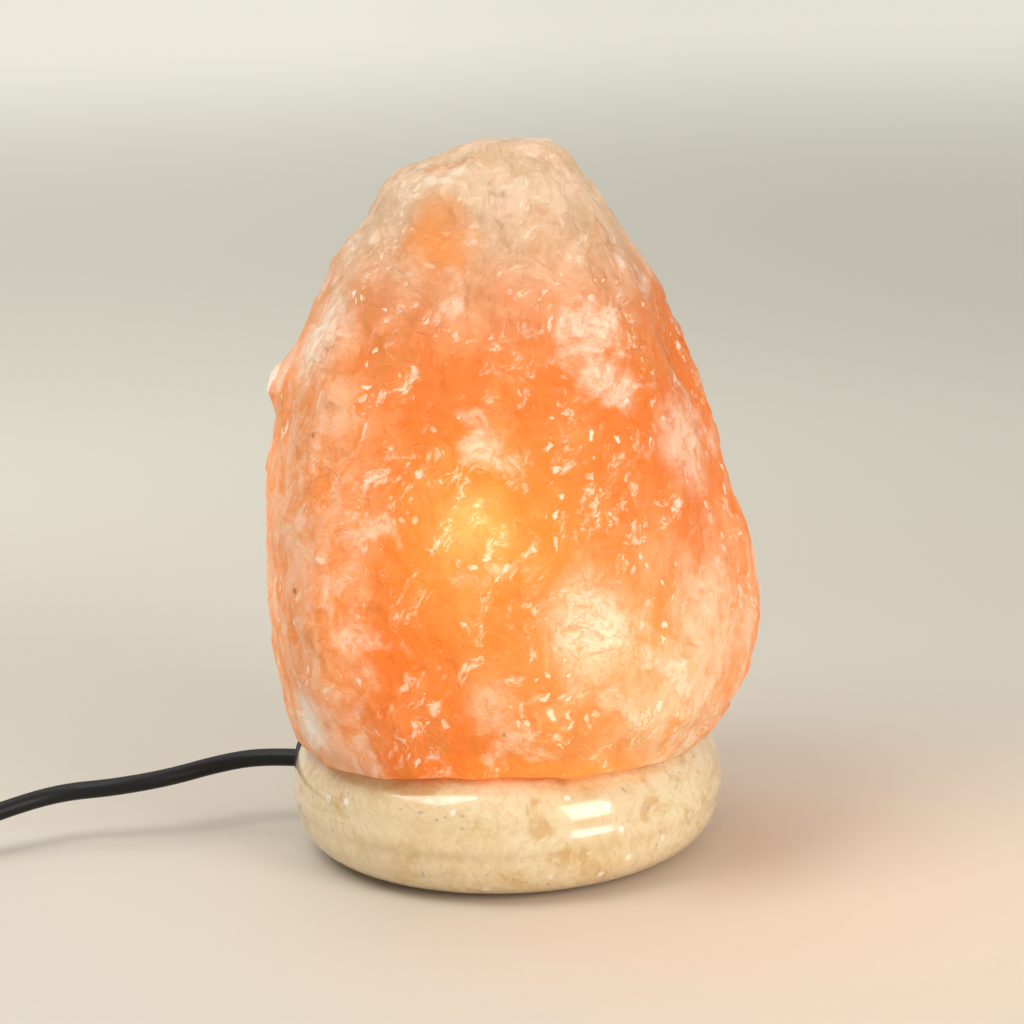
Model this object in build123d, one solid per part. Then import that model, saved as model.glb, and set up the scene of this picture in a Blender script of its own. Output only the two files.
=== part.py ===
from build123d import *
from math import asin, cos, degrees, exp, floor, pi, radians, sin, tan
import os

# Salt crystal lamp: a hewn rock of salt standing on a turned stone foot, lit from
# inside by a small screw-base bulb. Millimetres, +Z up, the front of the lamp is -Y.
# The origin is the middle of the foot's felt, on the table.

# ---- driving sizes -------------------------------------------------------------

# felt and stone foot
felt_thickness = 1.0
felt_inner_radius = 30.0
felt_outer_radius = 45.0
base_radius = 60.0
base_height = 33.0
base_edge_rounding = 13.0
base_side_bulge = 0.8
base_bore_radius = 20.0
base_bore_chamfer = 1.0

# salt crystal
crystal_height = 161.0
crystal_left = 64.3
crystal_right = 71.4
crystal_depth_share = 0.92
crystal_bore_radius = 25.0
crystal_bore_depth = 82.0
crystal_bore_tip = 9.0
crystal_mouth_chamfer = 2.0
ring_points = 45
section_power = 2.3
hewn_roughness = 1.5
hewn_height_drift = 1.1
hewn_turn_drift = 0.24

# lampholder
clip_thickness = 0.8
clip_plate_radius = 23.0
clip_leg_count = 3
clip_leg_width = 7.0
clip_leg_bow = 19.4
clip_leg_root = 16.0
clip_leg_drop = 25.0
holder_radius = 14.0
holder_flange_radius = 17.0
holder_flange_thickness = 2.0
holder_rim_height = 30.0
cap_cup_depth = 24.0
cap_cup_wall = 1.6
spigot_length = 4.0
spigot_radius = 11.6
wiring_radius = 9.0
web_thickness = 3.0
web_height = 5.0
socket_bore_radius = 8.2
socket_shell_radius = 8.0
socket_shell_wall = 0.8
socket_shell_height = 21.5
rivet_radius = 1.5
rivet_head_radius = 3.0
rivet_head_thickness = 0.9
rivet_length = 6.0
block_thickness = 3.0
terminal_spacing = 11.0
terminal_size = 5.0
terminal_height = 7.0
terminal_screw_radius = 1.3
terminal_screw_head = 2.2

# bulb
bulb_length = 57.0
bulb_radius = 12.6
bulb_neck_height = 27.0
glass_wall = 0.7
glass_seat_height = 20.0
cap_radius = 6.9
cap_wall = 0.55
cap_height = 23.0
cap_foot_height = 3.0
insulator_radius = 4.6
tip_radius = 2.4
tip_thickness = 0.8
stem_radius = 3.0
stem_height = 15.0
filament_wire = 0.3
filament_loop_radius = 5.5
bulb_tip_gap = 0.1

# mains lead
cord_radius = 2.5
cord_azimuth = 166.0
cord_hole_height = 20.0
cord_hole_radius = 4.2
core_radius = 1.0
core_spacing = 2.6
core_bend = 1.6
sheath_end = 5.0
grommet_flange_radius = 6.2
grommet_flange_thickness = 2.4
grommet_length = 10.0
grommet_seat_depth = 1.6
grommet_bore_gap = 0.15
exit_run = 11.2
boot_length = 20.0
boot_big_radius = 4.6
boot_tip_radius = 3.3
boot_groove = 0.7
coil_outer_radius = 39.7
coil_pitch = 6.5
coil_layer_rise = 6.3
coil_half_turns_in = 6
landing_run = 12.5
tail_run = 11.0
tail_turn = 17.0
switch_entry_x = -168.0
switch_entry_y = -11.0
# where the lead bends between the foot and the switch, hanging just over the table
lead_bends = [
    (-82.5, 15.9, 18.6),
    (-96.0, 9.4, 17.0),
    (-111.5, 6.3, 15.6),
    (-127.0, 6.8, 14.4),
    (-142.0, -1.0, 12.4),
]

# inline switch
switch_length = 46.0
switch_middle_width = 25.0
switch_end_width = 16.0
switch_height = 18.0
switch_wall = 2.0
switch_edge_rounding = 2.6
switch_heading = 194.0
rocker_length = 19.0
rocker_width = 10.0
rocker_rise = 5.2
rocker_dip = 3.0
rocker_depth = 2.5
rocker_tilt = 12.0
rocker_pivot_height = 14.0
rocker_pin_radius = 1.2
rocker_end_gap = 1.7
rocker_side_gap = 0.3
switch_screw_x = 15.0
switch_screw_y = 5.6
switch_screw_radius = 1.2
switch_screw_head = 2.4

# plug
plug_length = 36.0
plug_width = 35.2
plug_front_width = 26.0
plug_rear_width = 13.0
plug_thickness = 13.7
plug_shoulder_at = 13.0
plug_widest_at = 18.0
plug_neck_at = 23.0
plug_shoulder_drop = 0.8
plug_edge_rounding = 3.0
plug_boot_length = 26.0
plug_boot_radius = 5.4
pin_length = 19.0
pin_radius = 2.0
pin_spacing = 18.6
pin_sleeve_length = 10.0
pin_sleeve_radius = 1.9
pin_core_radius = 1.5
pin_core_depth = 7.0

# clearances
fit_gap = 0.3
close_gap = 0.1

# how a cylinder or box stands on the plane that it is drawn on
standing = (Align.CENTER, Align.CENTER, Align.MIN)

# ---- places worked out from the sizes -------------------------------------------

base_bottom = felt_thickness
base_top = base_bottom + base_height
plate_top = base_top + clip_thickness
flange_top = plate_top + holder_flange_thickness
holder_rim = plate_top + holder_rim_height
web_bottom = flange_top + web_height - web_thickness
web_top = web_bottom + web_thickness
rivet_top = web_top + rivet_head_thickness
bulb_bottom = rivet_top + bulb_tip_gap
cup_top = plate_top - clip_thickness - 2.0
cup_bottom = cup_top - cap_cup_depth
grommet_seat_radius = base_radius - grommet_seat_depth
cord_exit_radius = grommet_seat_radius + grommet_flange_thickness


def polar(radius, azimuth, height=0.0):
    """Point at a radius and azimuth round the lamp's upright axis."""
    return Vector(radius * cos(radians(azimuth)), radius * sin(radians(azimuth)), height)


def outward(azimuth, height, radius=0.0, lateral=0.0):
    """Frame whose local Z runs outwards along an azimuth, at a height and radius."""
    direction = polar(1, azimuth)
    across = Vector(-direction.Y, direction.X, 0)
    place = direction * radius + across * lateral + Vector(0, 0, height)
    return Plane(origin=place, x_dir=across, z_dir=direction)


def disc(radius, bottom, top):
    """Upright cylinder on the lamp's axis between two heights."""
    return Pos(0, 0, bottom) * Cylinder(radius, top - bottom, align=standing)


def turned(*outline):
    """Solid of revolution about the lamp's axis from (radius, height) corners."""
    face = make_face(Plane.XZ * Polyline(*outline, close=True))
    return revolve(face, axis=Axis.Z)


# ---- the salt crystal ------------------------------------------------------------

# Reach of the rock at chosen heights, read from its outline in the front view:
# (share of the height, share of the left reach, share of the right reach).
rock_profile = [
    (0.000, 0.910, 0.818),
    (0.037, 0.938, 0.882),
    (0.087, 0.957, 0.948),
    (0.149, 0.987, 0.986),
    (0.211, 0.997, 1.000),
    (0.273, 1.000, 0.982),
    (0.335, 0.995, 0.955),
    (0.398, 0.993, 0.910),
    (0.453, 0.982, 0.874),
    (0.509, 0.949, 0.845),
    (0.559, 0.922, 0.815),
    (0.599, 0.903, 0.784),
    (0.621, 0.890, 0.757),
    (0.658, 0.860, 0.730),
    (0.702, 0.802, 0.686),
    (0.752, 0.740, 0.648),
    (0.795, 0.680, 0.588),
    (0.839, 0.611, 0.511),
    (0.882, 0.513, 0.455),
    (0.919, 0.465, 0.401),
    (0.950, 0.389, 0.350),
    (0.975, 0.233, 0.308),
    (1.000, 0.070, 0.240),
]

# Upright ridges and hollows left by the chisel: (azimuth, share of radius, spread).
rock_lobes = [
    (236.0, 0.055, 15.0),
    (298.0, 0.050, 15.0),
    (266.0, -0.020, 14.0),
    (35.0, 0.035, 14.0),
    (104.0, 0.045, 18.0),
    (150.0, 0.030, 12.0),
    (70.0, -0.025, 13.0),
]

# Knobs and hollows: (azimuth, share of the height, share of radius, spread of azimuth,
# spread of height).
rock_knobs = [
    (181.0, 0.605, 0.085, 9.0, 0.020),
    (343.0, 0.705, -0.100, 7.5, 0.095),
    (321.0, 0.720, 0.045, 9.0, 0.110),
    (199.0, 0.740, -0.050, 8.0, 0.090),
    (216.0, 0.700, 0.030, 10.0, 0.120),
    (246.0, 0.480, -0.025, 9.0, 0.160),
    (285.0, 0.130, 0.025, 12.0, 0.080),
    (312.0, 0.250, -0.030, 8.0, 0.120),
    (20.0, 0.450, -0.030, 16.0, 0.090),
    (95.0, 0.560, 0.040, 18.0, 0.070),
    (125.0, 0.300, -0.030, 16.0, 0.080),
    (60.0, 0.780, 0.035, 14.0, 0.070),
]

# Hewn flats: (azimuth, upward lean, depth taken off).
hewn_flats = [
    (252.0, 24.0, 2.6),
    (281.0, 9.0, 2.2),
    (321.0, 31.0, 3.0),
    (215.0, 15.0, 2.2),
    (88.0, 20.0, 3.0),
    (128.0, 33.0, 2.6),
    (55.0, 12.0, 2.4),
    (150.0, -6.0, 2.0),
]


def drift(ring, place, kind):
    """Even scatter from -1 to 1 for a point of a ring, the same at every build."""
    number = sin(12.9898 * ring + 78.233 * (place % ring_points) + 37.719 * kind) * 43758.5453
    return 2 * (number - floor(number)) - 1


def bell(azimuth, centre, spread):
    """One at an azimuth, falling off to either side of it."""
    turn = abs(azimuth - centre) % 360
    return exp(-0.5 * (min(turn, 360 - turn) / spread) ** 2)


def rock_radius(azimuth, rise, left, right):
    """Superellipse through the left and right reach, less deep, swollen by ridges and knobs."""
    depth = crystal_depth_share * (left + right) / 2
    across = cos(radians(azimuth)) / (right if cos(radians(azimuth)) >= 0 else left)
    along = sin(radians(azimuth)) / depth
    radius = (abs(across) ** section_power + abs(along) ** section_power) ** (-1 / section_power)
    swell = 1.0
    for centre, share, spread in rock_lobes:
        swell += share * bell(azimuth, centre, spread)
    for centre, level, share, spread, tall in rock_knobs:
        swell += share * bell(azimuth, centre, spread) * exp(-0.5 * ((rise - level) / tall) ** 2)
    return radius * swell


def rock_ring(ring, rise, left, right):
    """Corners of the rock's facets on one ring; every other ring is turned half a step."""
    level = 0 < ring < len(rock_profile) - 1
    corners = []
    for i in range(ring_points):
        azimuth = (i + 0.5 * (ring % 2) + hewn_turn_drift * drift(ring, i, 1)) * 360 / ring_points
        height = rise * crystal_height + (hewn_height_drift * drift(ring, i, 2) if level else 0)
        seen = 0.3 + 0.7 * abs(sin(radians(azimuth)))
        radius = rock_radius(azimuth, rise, left * crystal_left, right * crystal_right)
        radius -= seen * hewn_roughness * (1 + drift(ring, i, 3)) / 2
        corners.append((azimuth, height, radius))
    return corners


def hewn(rings, azimuth, lean, depth):
    """Rings cut back to a leaning flat that takes the given depth off the furthest corner."""
    def facing(corner):
        return cos(radians(lean)) * cos(radians(corner[0] - azimuth))

    def rising(corner):
        return sin(radians(lean)) * corner[1]

    reach = max(facing(corner) * corner[2] + rising(corner) for ring in rings for corner in ring) - depth
    cut = []
    for ring in rings:
        kept = []
        for corner in ring:
            radius = corner[2]
            if facing(corner) * radius + rising(corner) > reach:
                radius = (reach - rising(corner)) / facing(corner)
            kept.append((corner[0], corner[1], radius))
        cut.append(kept)
    return cut


def rock_facets(rings):
    """Triangles between neighbouring rings of corners, and a flat face on each end."""
    facets = []
    for i, (lower, upper) in enumerate(zip(rings, rings[1:])):
        shift = i % 2
        for j in range(ring_points):
            after = (j + 1) % ring_points
            above, above_after = (j + shift) % ring_points, (j + shift + 1) % ring_points
            facets.append([lower[j], lower[after], upper[above]])
            facets.append([lower[after], upper[above_after], upper[above]])
    facets.append(rings[0])
    facets.append(rings[-1])
    return facets


def salt_crystal():
    rings = [rock_ring(i, *row) for i, row in enumerate(rock_profile)]
    for flat in hewn_flats:
        rings = hewn(rings, *flat)
    rings = [[polar(radius, azimuth, base_top + height) for azimuth, height, radius in ring]
             for ring in rings]
    rock = Solid(Shell([Face(Wire.make_polygon(corners)) for corners in rock_facets(rings)]))
    shoulder = base_top + crystal_bore_depth
    bore = turned(
        (0, base_top - 1),
        (crystal_bore_radius + crystal_mouth_chamfer + 1, base_top - 1),
        (crystal_bore_radius, base_top + crystal_mouth_chamfer),
        (crystal_bore_radius, shoulder),
        (crystal_bore_radius / 3, shoulder + crystal_bore_tip),
        (0, shoulder + crystal_bore_tip),
    )
    return rock - bore


# ---- the foot --------------------------------------------------------------------

def felt_ring():
    return disc(felt_outer_radius, 0, felt_thickness) - disc(felt_inner_radius, -1, felt_thickness + 1)


def stone_base():
    flat = base_radius - base_side_bulge - base_edge_rounding
    side = base_radius - base_side_bulge
    low, high = base_bottom + base_edge_rounding, base_top - base_edge_rounding
    lean = base_edge_rounding * (1 - cos(radians(45)))
    outline = Plane.XZ * Wire([
        Edge.make_line((base_bore_radius, base_bottom), (flat, base_bottom)),
        Edge.make_three_point_arc((flat, base_bottom), (side - lean, base_bottom + lean), (side, low)),
        Edge.make_three_point_arc((side, low), (base_radius, (low + high) / 2), (side, high)),
        Edge.make_three_point_arc((side, high), (side - lean, base_top - lean), (flat, base_top)),
        Edge.make_line((flat, base_top), (base_bore_radius + base_bore_chamfer, base_top)),
        Edge.make_line((base_bore_radius + base_bore_chamfer, base_top),
                       (base_bore_radius, base_top - base_bore_chamfer)),
        Edge.make_line((base_bore_radius, base_top - base_bore_chamfer), (base_bore_radius, base_bottom)),
    ])
    stone = revolve(make_face(outline), axis=Axis.Z)
    channel = outward(cord_azimuth, cord_hole_height)
    stone -= channel * Cylinder(cord_hole_radius, base_radius * 2, align=standing)
    seat = outward(cord_azimuth, cord_hole_height, grommet_seat_radius)
    stone -= seat * Cylinder(grommet_flange_radius + fit_gap, base_radius,
                             align=standing)
    return stone


def cord_grommet():
    seat = outward(cord_azimuth, cord_hole_height, grommet_seat_radius)
    flange = Cylinder(grommet_flange_radius, grommet_flange_thickness, align=standing)
    flange = fillet(flange.edges().filter_by(GeomType.CIRCLE).sort_by(Axis.Z)[-1], 1.2)
    sleeve = Pos(0, 0, -grommet_length) * Cylinder(cord_hole_radius - close_gap, grommet_length,
                                                   align=standing)
    bore = Cylinder(cord_radius + grommet_bore_gap, 4 * grommet_length)
    return seat * (flange + sleeve - bore)


# ---- the lampholder --------------------------------------------------------------

def holder_spring_clip():
    """Pressed steel plate on the foot, with bowed legs that grip the foot's bore."""
    clip = disc(clip_plate_radius, base_top, plate_top)
    clip -= disc(holder_radius + fit_gap, base_top - 1, plate_top + 1)
    top, bottom = base_top + clip_thickness / 2, base_top - clip_leg_drop
    middle = (base_top + bottom) / 2
    inner = clip_thickness
    leg_face = Plane.XZ * Wire([
        Edge.make_three_point_arc((clip_leg_root + inner, top), (clip_leg_bow, middle),
                                  (clip_leg_root + inner, bottom)),
        Edge.make_line((clip_leg_root + inner, bottom), (clip_leg_root, bottom)),
        Edge.make_three_point_arc((clip_leg_root, bottom), (clip_leg_bow - inner, middle),
                                  (clip_leg_root, top)),
        Edge.make_line((clip_leg_root, top), (clip_leg_root + inner, top)),
    ])
    leg = extrude(make_face(leg_face), clip_leg_width / 2, both=True)
    for i in range(clip_leg_count):
        clip += Rot(0, 0, cord_azimuth + 180 / clip_leg_count + i * 360 / clip_leg_count) * leg
    return clip


def holder_body():
    body = turned(
        (wiring_radius, cup_top - spigot_length),
        (spigot_radius, cup_top - spigot_length),
        (spigot_radius, cup_top),
        (holder_radius, cup_top),
        (holder_radius, plate_top),
        (holder_flange_radius, plate_top),
        (holder_flange_radius, flange_top),
        (holder_radius, flange_top),
        (holder_radius, holder_rim - 1),
        (holder_radius - 1, holder_rim),
        (socket_bore_radius, holder_rim),
        (socket_bore_radius, web_top),
        (rivet_radius + close_gap, web_top),
        (rivet_radius + close_gap, web_bottom),
        (wiring_radius, web_bottom),
    )
    return body


def holder_lower_cap():
    cup = disc(spigot_radius + close_gap + cap_cup_wall, cup_bottom, cup_top - close_gap)
    cup = fillet(cup.edges().filter_by(GeomType.CIRCLE).sort_by(Axis.Z)[0], 3)
    cup -= disc(spigot_radius + close_gap, cup_bottom + cap_cup_wall, cup_top + 1)
    entry = outward(cord_azimuth, cord_hole_height, spigot_radius / 2)
    cup -= entry * Cylinder(cord_radius + fit_gap, spigot_radius * 2, align=standing)
    return cup


def holder_cord_grip():
    """Block inside the lower cap that clamps the lead's sheath."""
    reach, depth, width, height = 6.2, 4.2, 9.6, 9.0
    block = outward(cord_azimuth, cord_hole_height, reach) * Box(
        width, height, depth, align=standing)
    bore = outward(cord_azimuth, cord_hole_height) * Cylinder(cord_radius + close_gap, base_radius)
    floor_level, underside = cup_bottom + cap_cup_wall, cord_hole_height - height / 2
    stand = outward(cord_azimuth, (underside + floor_level) / 2, reach) * Box(
        width, underside - floor_level, depth, align=standing)
    return block + stand - bore


def terminal_place(side):
    """Middle of a terminal's top, one each side of the lead."""
    across = polar(1, cord_azimuth + 90)
    return across * (side * terminal_spacing / 2) + Vector(0, 0, web_bottom - block_thickness)


def holder_contact_block():
    block = disc(wiring_radius - close_gap, web_bottom - block_thickness, web_bottom)
    block -= disc(rivet_radius + close_gap, 0, base_top * 2)
    return block


def holder_terminal(side):
    place = terminal_place(side)
    clamp = Pos(*place) * Box(terminal_size, terminal_size, terminal_height,
                              align=(Align.CENTER, Align.CENTER, Align.MAX))
    hole = outward(cord_azimuth, place.Z - terminal_height + 2.0, 0, side * terminal_spacing / 2)
    return clamp - hole * Cylinder(terminal_screw_radius + close_gap, 20)


def holder_terminal_screw(side):
    """Cheese-head screw across each terminal, on the side away from the lead."""
    place = terminal_place(side)
    seat = outward(cord_azimuth + 180, place.Z - terminal_height + 2.0, 0, -side * terminal_spacing / 2)
    reach = terminal_size * 0.66
    shank = seat * Cylinder(terminal_screw_radius, reach * 2)
    head = seat * Pos(0, 0, reach) * Cylinder(terminal_screw_head, 1.4, align=standing)
    return shank + head


def holder_shell():
    low, high = web_top, web_top + socket_shell_height
    return turned(
        (rivet_head_radius + 1.0, low),
        (socket_shell_radius, low),
        (socket_shell_radius, high),
        (socket_shell_radius - socket_shell_wall, high),
        (socket_shell_radius - socket_shell_wall, low + socket_shell_wall),
        (rivet_head_radius + 1.0, low + socket_shell_wall),
    )


def holder_centre_contact():
    stem = disc(rivet_radius, rivet_top - rivet_head_thickness - rivet_length, rivet_top)
    return stem + disc(rivet_head_radius, web_top, rivet_top)


def cord_inside():
    """The lead's straight stretch from the clamp through the foot to its side."""
    return outward(cord_azimuth, cord_hole_height, sheath_end) * Cylinder(
        cord_radius, cord_exit_radius - sheath_end, align=standing)


def core(side):
    """Insulated conductor from the end of the sheath up to its terminal."""
    outward_dir, across = polar(1, cord_azimuth), polar(1, cord_azimuth + 90)
    start = outward_dir * sheath_end + across * (side * core_spacing / 2) + Vector(0, 0, cord_hole_height)
    end = terminal_place(side) - Vector(0, 0, terminal_height)
    parting = start - outward_dir * (sheath_end * 0.8)
    rising = across * (side * terminal_spacing / 2) + Vector(0, 0, cord_hole_height + 1.5)
    path = FilletPolyline(start, parting, rising, end, radius=core_bend)
    section = Plane(origin=path @ 0, z_dir=path % 0) * Circle(core_radius)
    return sweep(section, path=path)


# ---- the bulb --------------------------------------------------------------------

def glass_face(inset):
    """Half section of the pear-shaped envelope, drawn in by a wall: neck, two flaring arcs, dome."""
    neck = cap_radius - cap_wall - close_gap - inset
    wide = bulb_radius - inset
    seat = bulb_bottom + glass_seat_height
    collar = bulb_bottom + bulb_neck_height
    widest = bulb_bottom + bulb_length - bulb_radius
    spread, rise = wide - neck, widest - collar
    flare = (spread ** 2 + rise ** 2) / (4 * spread)
    turn = degrees(asin(rise / 2 / flare))
    return make_face(Plane.XZ * Wire([
        Edge.make_line((0, seat), (neck, seat)),
        Edge.make_line((neck, seat), (neck, collar)),
        Edge.make_circle(flare, Plane((neck + flare, collar, 0)), 180 - turn, 180),
        Edge.make_circle(flare, Plane((wide - flare, widest, 0)), 0, turn).mirror(
            Plane((0, widest, 0), z_dir=(0, 1, 0))),
        Edge.make_circle(wide, Plane((0, widest, 0)), 0, 90),
        Edge.make_line((0, widest + wide), (0, seat)),
    ]))


def bulb_glass():
    outer = revolve(glass_face(0), axis=Axis.Z)
    inner = revolve(glass_face(glass_wall), axis=Axis.Z)
    return outer - inner


def bulb_cap():
    low = bulb_bottom + cap_foot_height
    shoulder = low + 1.6
    high = bulb_bottom + cap_height + cap_foot_height
    inner = cap_radius - cap_wall
    return turned(
        (insulator_radius - cap_wall, low),
        (insulator_radius, low),
        (cap_radius, shoulder),
        (cap_radius, high),
        (inner, high),
        (inner, shoulder + cap_wall),
        (insulator_radius - cap_wall, low + cap_wall),
    )


def bulb_insulator():
    low = bulb_bottom + tip_thickness
    return turned(
        (0, low),
        (tip_radius, low),
        (insulator_radius, bulb_bottom + cap_foot_height - 0.2),
        (insulator_radius, bulb_bottom + cap_foot_height),
        (0, bulb_bottom + cap_foot_height),
    )


def bulb_tip():
    return disc(tip_radius, bulb_bottom, bulb_bottom + tip_thickness)


def bulb_stem():
    seat = bulb_bottom + glass_seat_height
    flare = cap_radius - cap_wall - close_gap - glass_wall - close_gap
    return turned(
        (0, seat),
        (flare, seat),
        (flare, seat + 1),
        (stem_radius, seat + 4),
        (stem_radius, seat + stem_height - 3),
        (stem_radius / 3, seat + stem_height),
        (0, seat + stem_height),
    )


def bulb_filament():
    """Lead wires rising from the stem to an open loop of filament."""
    level = bulb_bottom + bulb_length - bulb_radius
    foot = bulb_bottom + glass_seat_height + stem_height - 0.7
    gape = 40.0
    loop = CenterArc((0, 0, level), filament_loop_radius, gape, 360 - 2 * gape)
    wire = sweep(Plane(origin=loop @ 0, z_dir=loop % 0) * Circle(filament_wire), path=loop)
    for end in (loop @ 0, loop @ 1):
        foot_point = Vector(end.X * 0.35, end.Y * 0.35, foot)
        lead = Line(foot_point, end)
        wire += sweep(Plane(origin=foot_point, z_dir=end - foot_point) * Circle(filament_wire), path=lead)
    return wire


# ---- the mains lead --------------------------------------------------------------

# Route of the lead from the foot's side to the inline switch, chosen along its line
# in the front view; it hangs a finger's breadth above the table between the two.
exit_point = polar(cord_exit_radius, cord_azimuth, cord_hole_height)
switch_run = polar(1, switch_heading)
switch_entry = Vector(switch_entry_x, switch_entry_y, switch_height / 2)
lamp_route = [
    exit_point,
    polar(cord_exit_radius + exit_run, cord_azimuth, cord_hole_height),
    *[Vector(*bend) for bend in lead_bends],
    switch_entry - switch_run * landing_run,
    switch_entry,
]

switch_centre = switch_entry + switch_run * (boot_length + switch_length / 2)
switch_exit = switch_centre + switch_run * (switch_length / 2 + boot_length)

coil_start = switch_exit + switch_run * (3.4 * landing_run) - Vector(0, 0, switch_height / 2 - cord_radius)
coil_route_in = [
    switch_exit,
    switch_exit + switch_run * landing_run,
    coil_start - switch_run * landing_run,
    coil_start,
]
coil_side = polar(1, switch_heading + 90)
coil_centre = coil_start + switch_run * (2 * cord_radius) - coil_side * coil_outer_radius


def run_radii(route):
    """Arc radius at each corner: 0.45 of its shorter run over the tangent of half its turn."""
    radii = []
    for before, corner, after in zip(route, route[1:], route[2:]):
        turn = (corner - before).get_angle(after - corner)
        shorter = min((corner - before).length, (after - corner).length)
        radii.append(0.45 * shorter / tan(radians(turn / 2)))
    return radii


def lead(name, route):
    """Round lead along straight runs joined by tangent arcs."""
    radii = run_radii(route)
    path = FilletPolyline(*route, radius=radii)
    print(name, "radii", [round(radius, 1) for radius in radii], "length", round(path.length, 1))
    section = Plane(origin=path @ 0, z_dir=path % 0) * Circle(cord_radius)
    tube = sweep(section, path=path)
    share = tube.volume / (pi * cord_radius ** 2 * path.length)
    print(name, "volume over section times length", round(share, 5))
    return tube


def coil_joins():
    """Places where the half turns meet: inwards on the lower layer, outwards on the upper."""
    inwards = [coil_outer_radius - i * coil_pitch / 2 for i in range(coil_half_turns_in + 1)]
    radii = inwards + inwards[::-1]
    levels = [cord_radius] * len(inwards) + [cord_radius + coil_layer_rise] * len(inwards)
    joins = []
    for i, (radius, level) in enumerate(zip(radii, levels)):
        side = coil_side if i % 2 == 0 else -coil_side
        joins.append(Vector(coil_centre.X, coil_centre.Y, level) + side * radius)
    return joins


def coil_path():
    joins = coil_joins()
    heading = switch_run
    edges = [Edge.make_line(joins[0] - heading * (2 * cord_radius), joins[0])]
    for start, end in zip(joins, joins[1:]):
        middle = (start + end) * 0.5 + heading * ((end - start).length / 2)
        edges.append(Edge.make_three_point_arc(start, middle, end))
        heading = -heading
    edges.append(Edge.make_line(joins[-1], joins[-1] + heading * (2 * cord_radius)))
    return Wire(edges), heading


def cord_coil():
    path = coil_path()[0]
    steps = 1400
    points = [path @ (i / steps) for i in range(steps + 1)]
    spacing = path.length / steps
    apart = int(6 * cord_radius / spacing)
    gap = min((points[i] - points[j]).length for i in range(0, steps, 2) for j in range(i + apart, steps, 2))
    print("coil length", round(path.length, 1), "least gap to itself", round(gap - 2 * cord_radius, 2))
    section = Plane(origin=path @ 0, z_dir=path % 0) * Circle(cord_radius)
    coil = sweep(section, path=path)
    share = coil.volume / (pi * cord_radius ** 2 * path.length)
    print("coil volume over section times length", round(share, 5))
    return coil


def tail_route():
    path, heading = coil_path()
    start = path @ 1
    plug_level = plug_thickness / 2
    across = Vector(heading.Y, -heading.X, 0)
    bent = heading * cos(radians(tail_turn)) + across * sin(radians(tail_turn))
    drop = Vector(0, 0, plug_level - start.Z)
    first = start + heading * tail_run
    second = first + (heading + bent) * (tail_run / 2) + drop
    return [start, first, second, second + bent * tail_run], bent


# ---- strain reliefs --------------------------------------------------------------

def strain_relief(length, big_radius):
    """Tapered sleeve along local Z, its tip at zero, ringed by four grooves."""
    corners = [(0, 0), (boot_tip_radius, 0), (big_radius, length), (0, length)]
    outline = Plane.XZ * Polyline(*corners, close=True)
    boot = revolve(make_face(outline), axis=Axis.Z)
    for i in range(4):
        height = length * (0.18 + 0.17 * i)
        radius = boot_tip_radius + (big_radius - boot_tip_radius) * height / length
        ring = Cylinder(radius + 1, 1.2) - Cylinder(radius - boot_groove, 1.2)
        boot -= Pos(0, 0, height) * ring
    return boot


def switch_boot(place, direction):
    """Boot with a neck through the switch's end wall and a collar behind it."""
    boot = strain_relief(boot_length, boot_big_radius)
    neck = Pos(0, 0, boot_length) * Cylinder(boot_tip_radius, switch_wall + 1.6,
                                              align=standing)
    collar = Pos(0, 0, boot_length + switch_wall + close_gap) * Cylinder(
        boot_big_radius, 1.5, align=standing)
    return Plane(origin=place, z_dir=direction) * (boot + neck + collar)


# ---- the inline switch -----------------------------------------------------------

def at_switch(shape):
    """Move a shape from the switch's own frame, X along the lead, to its place."""
    return Pos(switch_centre.X, switch_centre.Y, 0) * Rot(0, 0, switch_heading) * shape


def switch_footprint(inset):
    """Plan of the shells: straight ends, bowed sides."""
    end = switch_length / 2 - inset
    half_end = switch_end_width / 2 - inset
    half_middle = switch_middle_width / 2 - inset
    return make_face(Wire([
        Edge.make_line((-end, half_end), (-end, -half_end)),
        Edge.make_three_point_arc((-end, -half_end), (0, -half_middle), (end, -half_end)),
        Edge.make_line((end, -half_end), (end, half_end)),
        Edge.make_three_point_arc((end, half_end), (0, half_middle), (-end, half_end)),
    ]))


split_height = switch_height / 2
cord_way = Pos(0, 0, split_height) * Rot(0, 90, 0) * Cylinder(boot_tip_radius + close_gap, switch_length * 2)


def switch_bosses(radius, bottom, top):
    posts = [Pos(side * switch_screw_x, side * switch_screw_y, bottom)
             * Cylinder(radius, top - bottom, align=standing) for side in (-1, 1)]
    return posts[0] + posts[1]


def switch_lower_shell():
    shell = extrude(switch_footprint(0), split_height - close_gap / 2)
    shell = fillet(shell.edges().group_by(Axis.Z)[0], switch_edge_rounding)
    shell -= Pos(0, 0, switch_wall) * extrude(switch_footprint(switch_wall), switch_height)
    shell += switch_bosses(switch_screw_radius + 1.4, switch_wall, split_height - close_gap / 2)
    shell += Pos(0, -2, switch_wall) * Box(12, 10, 5.5, align=standing)
    shell -= switch_bosses(switch_screw_radius + close_gap, -1, switch_height)
    shell -= switch_bosses(switch_screw_head + close_gap, -1, 1.5)
    return shell - cord_way


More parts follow.
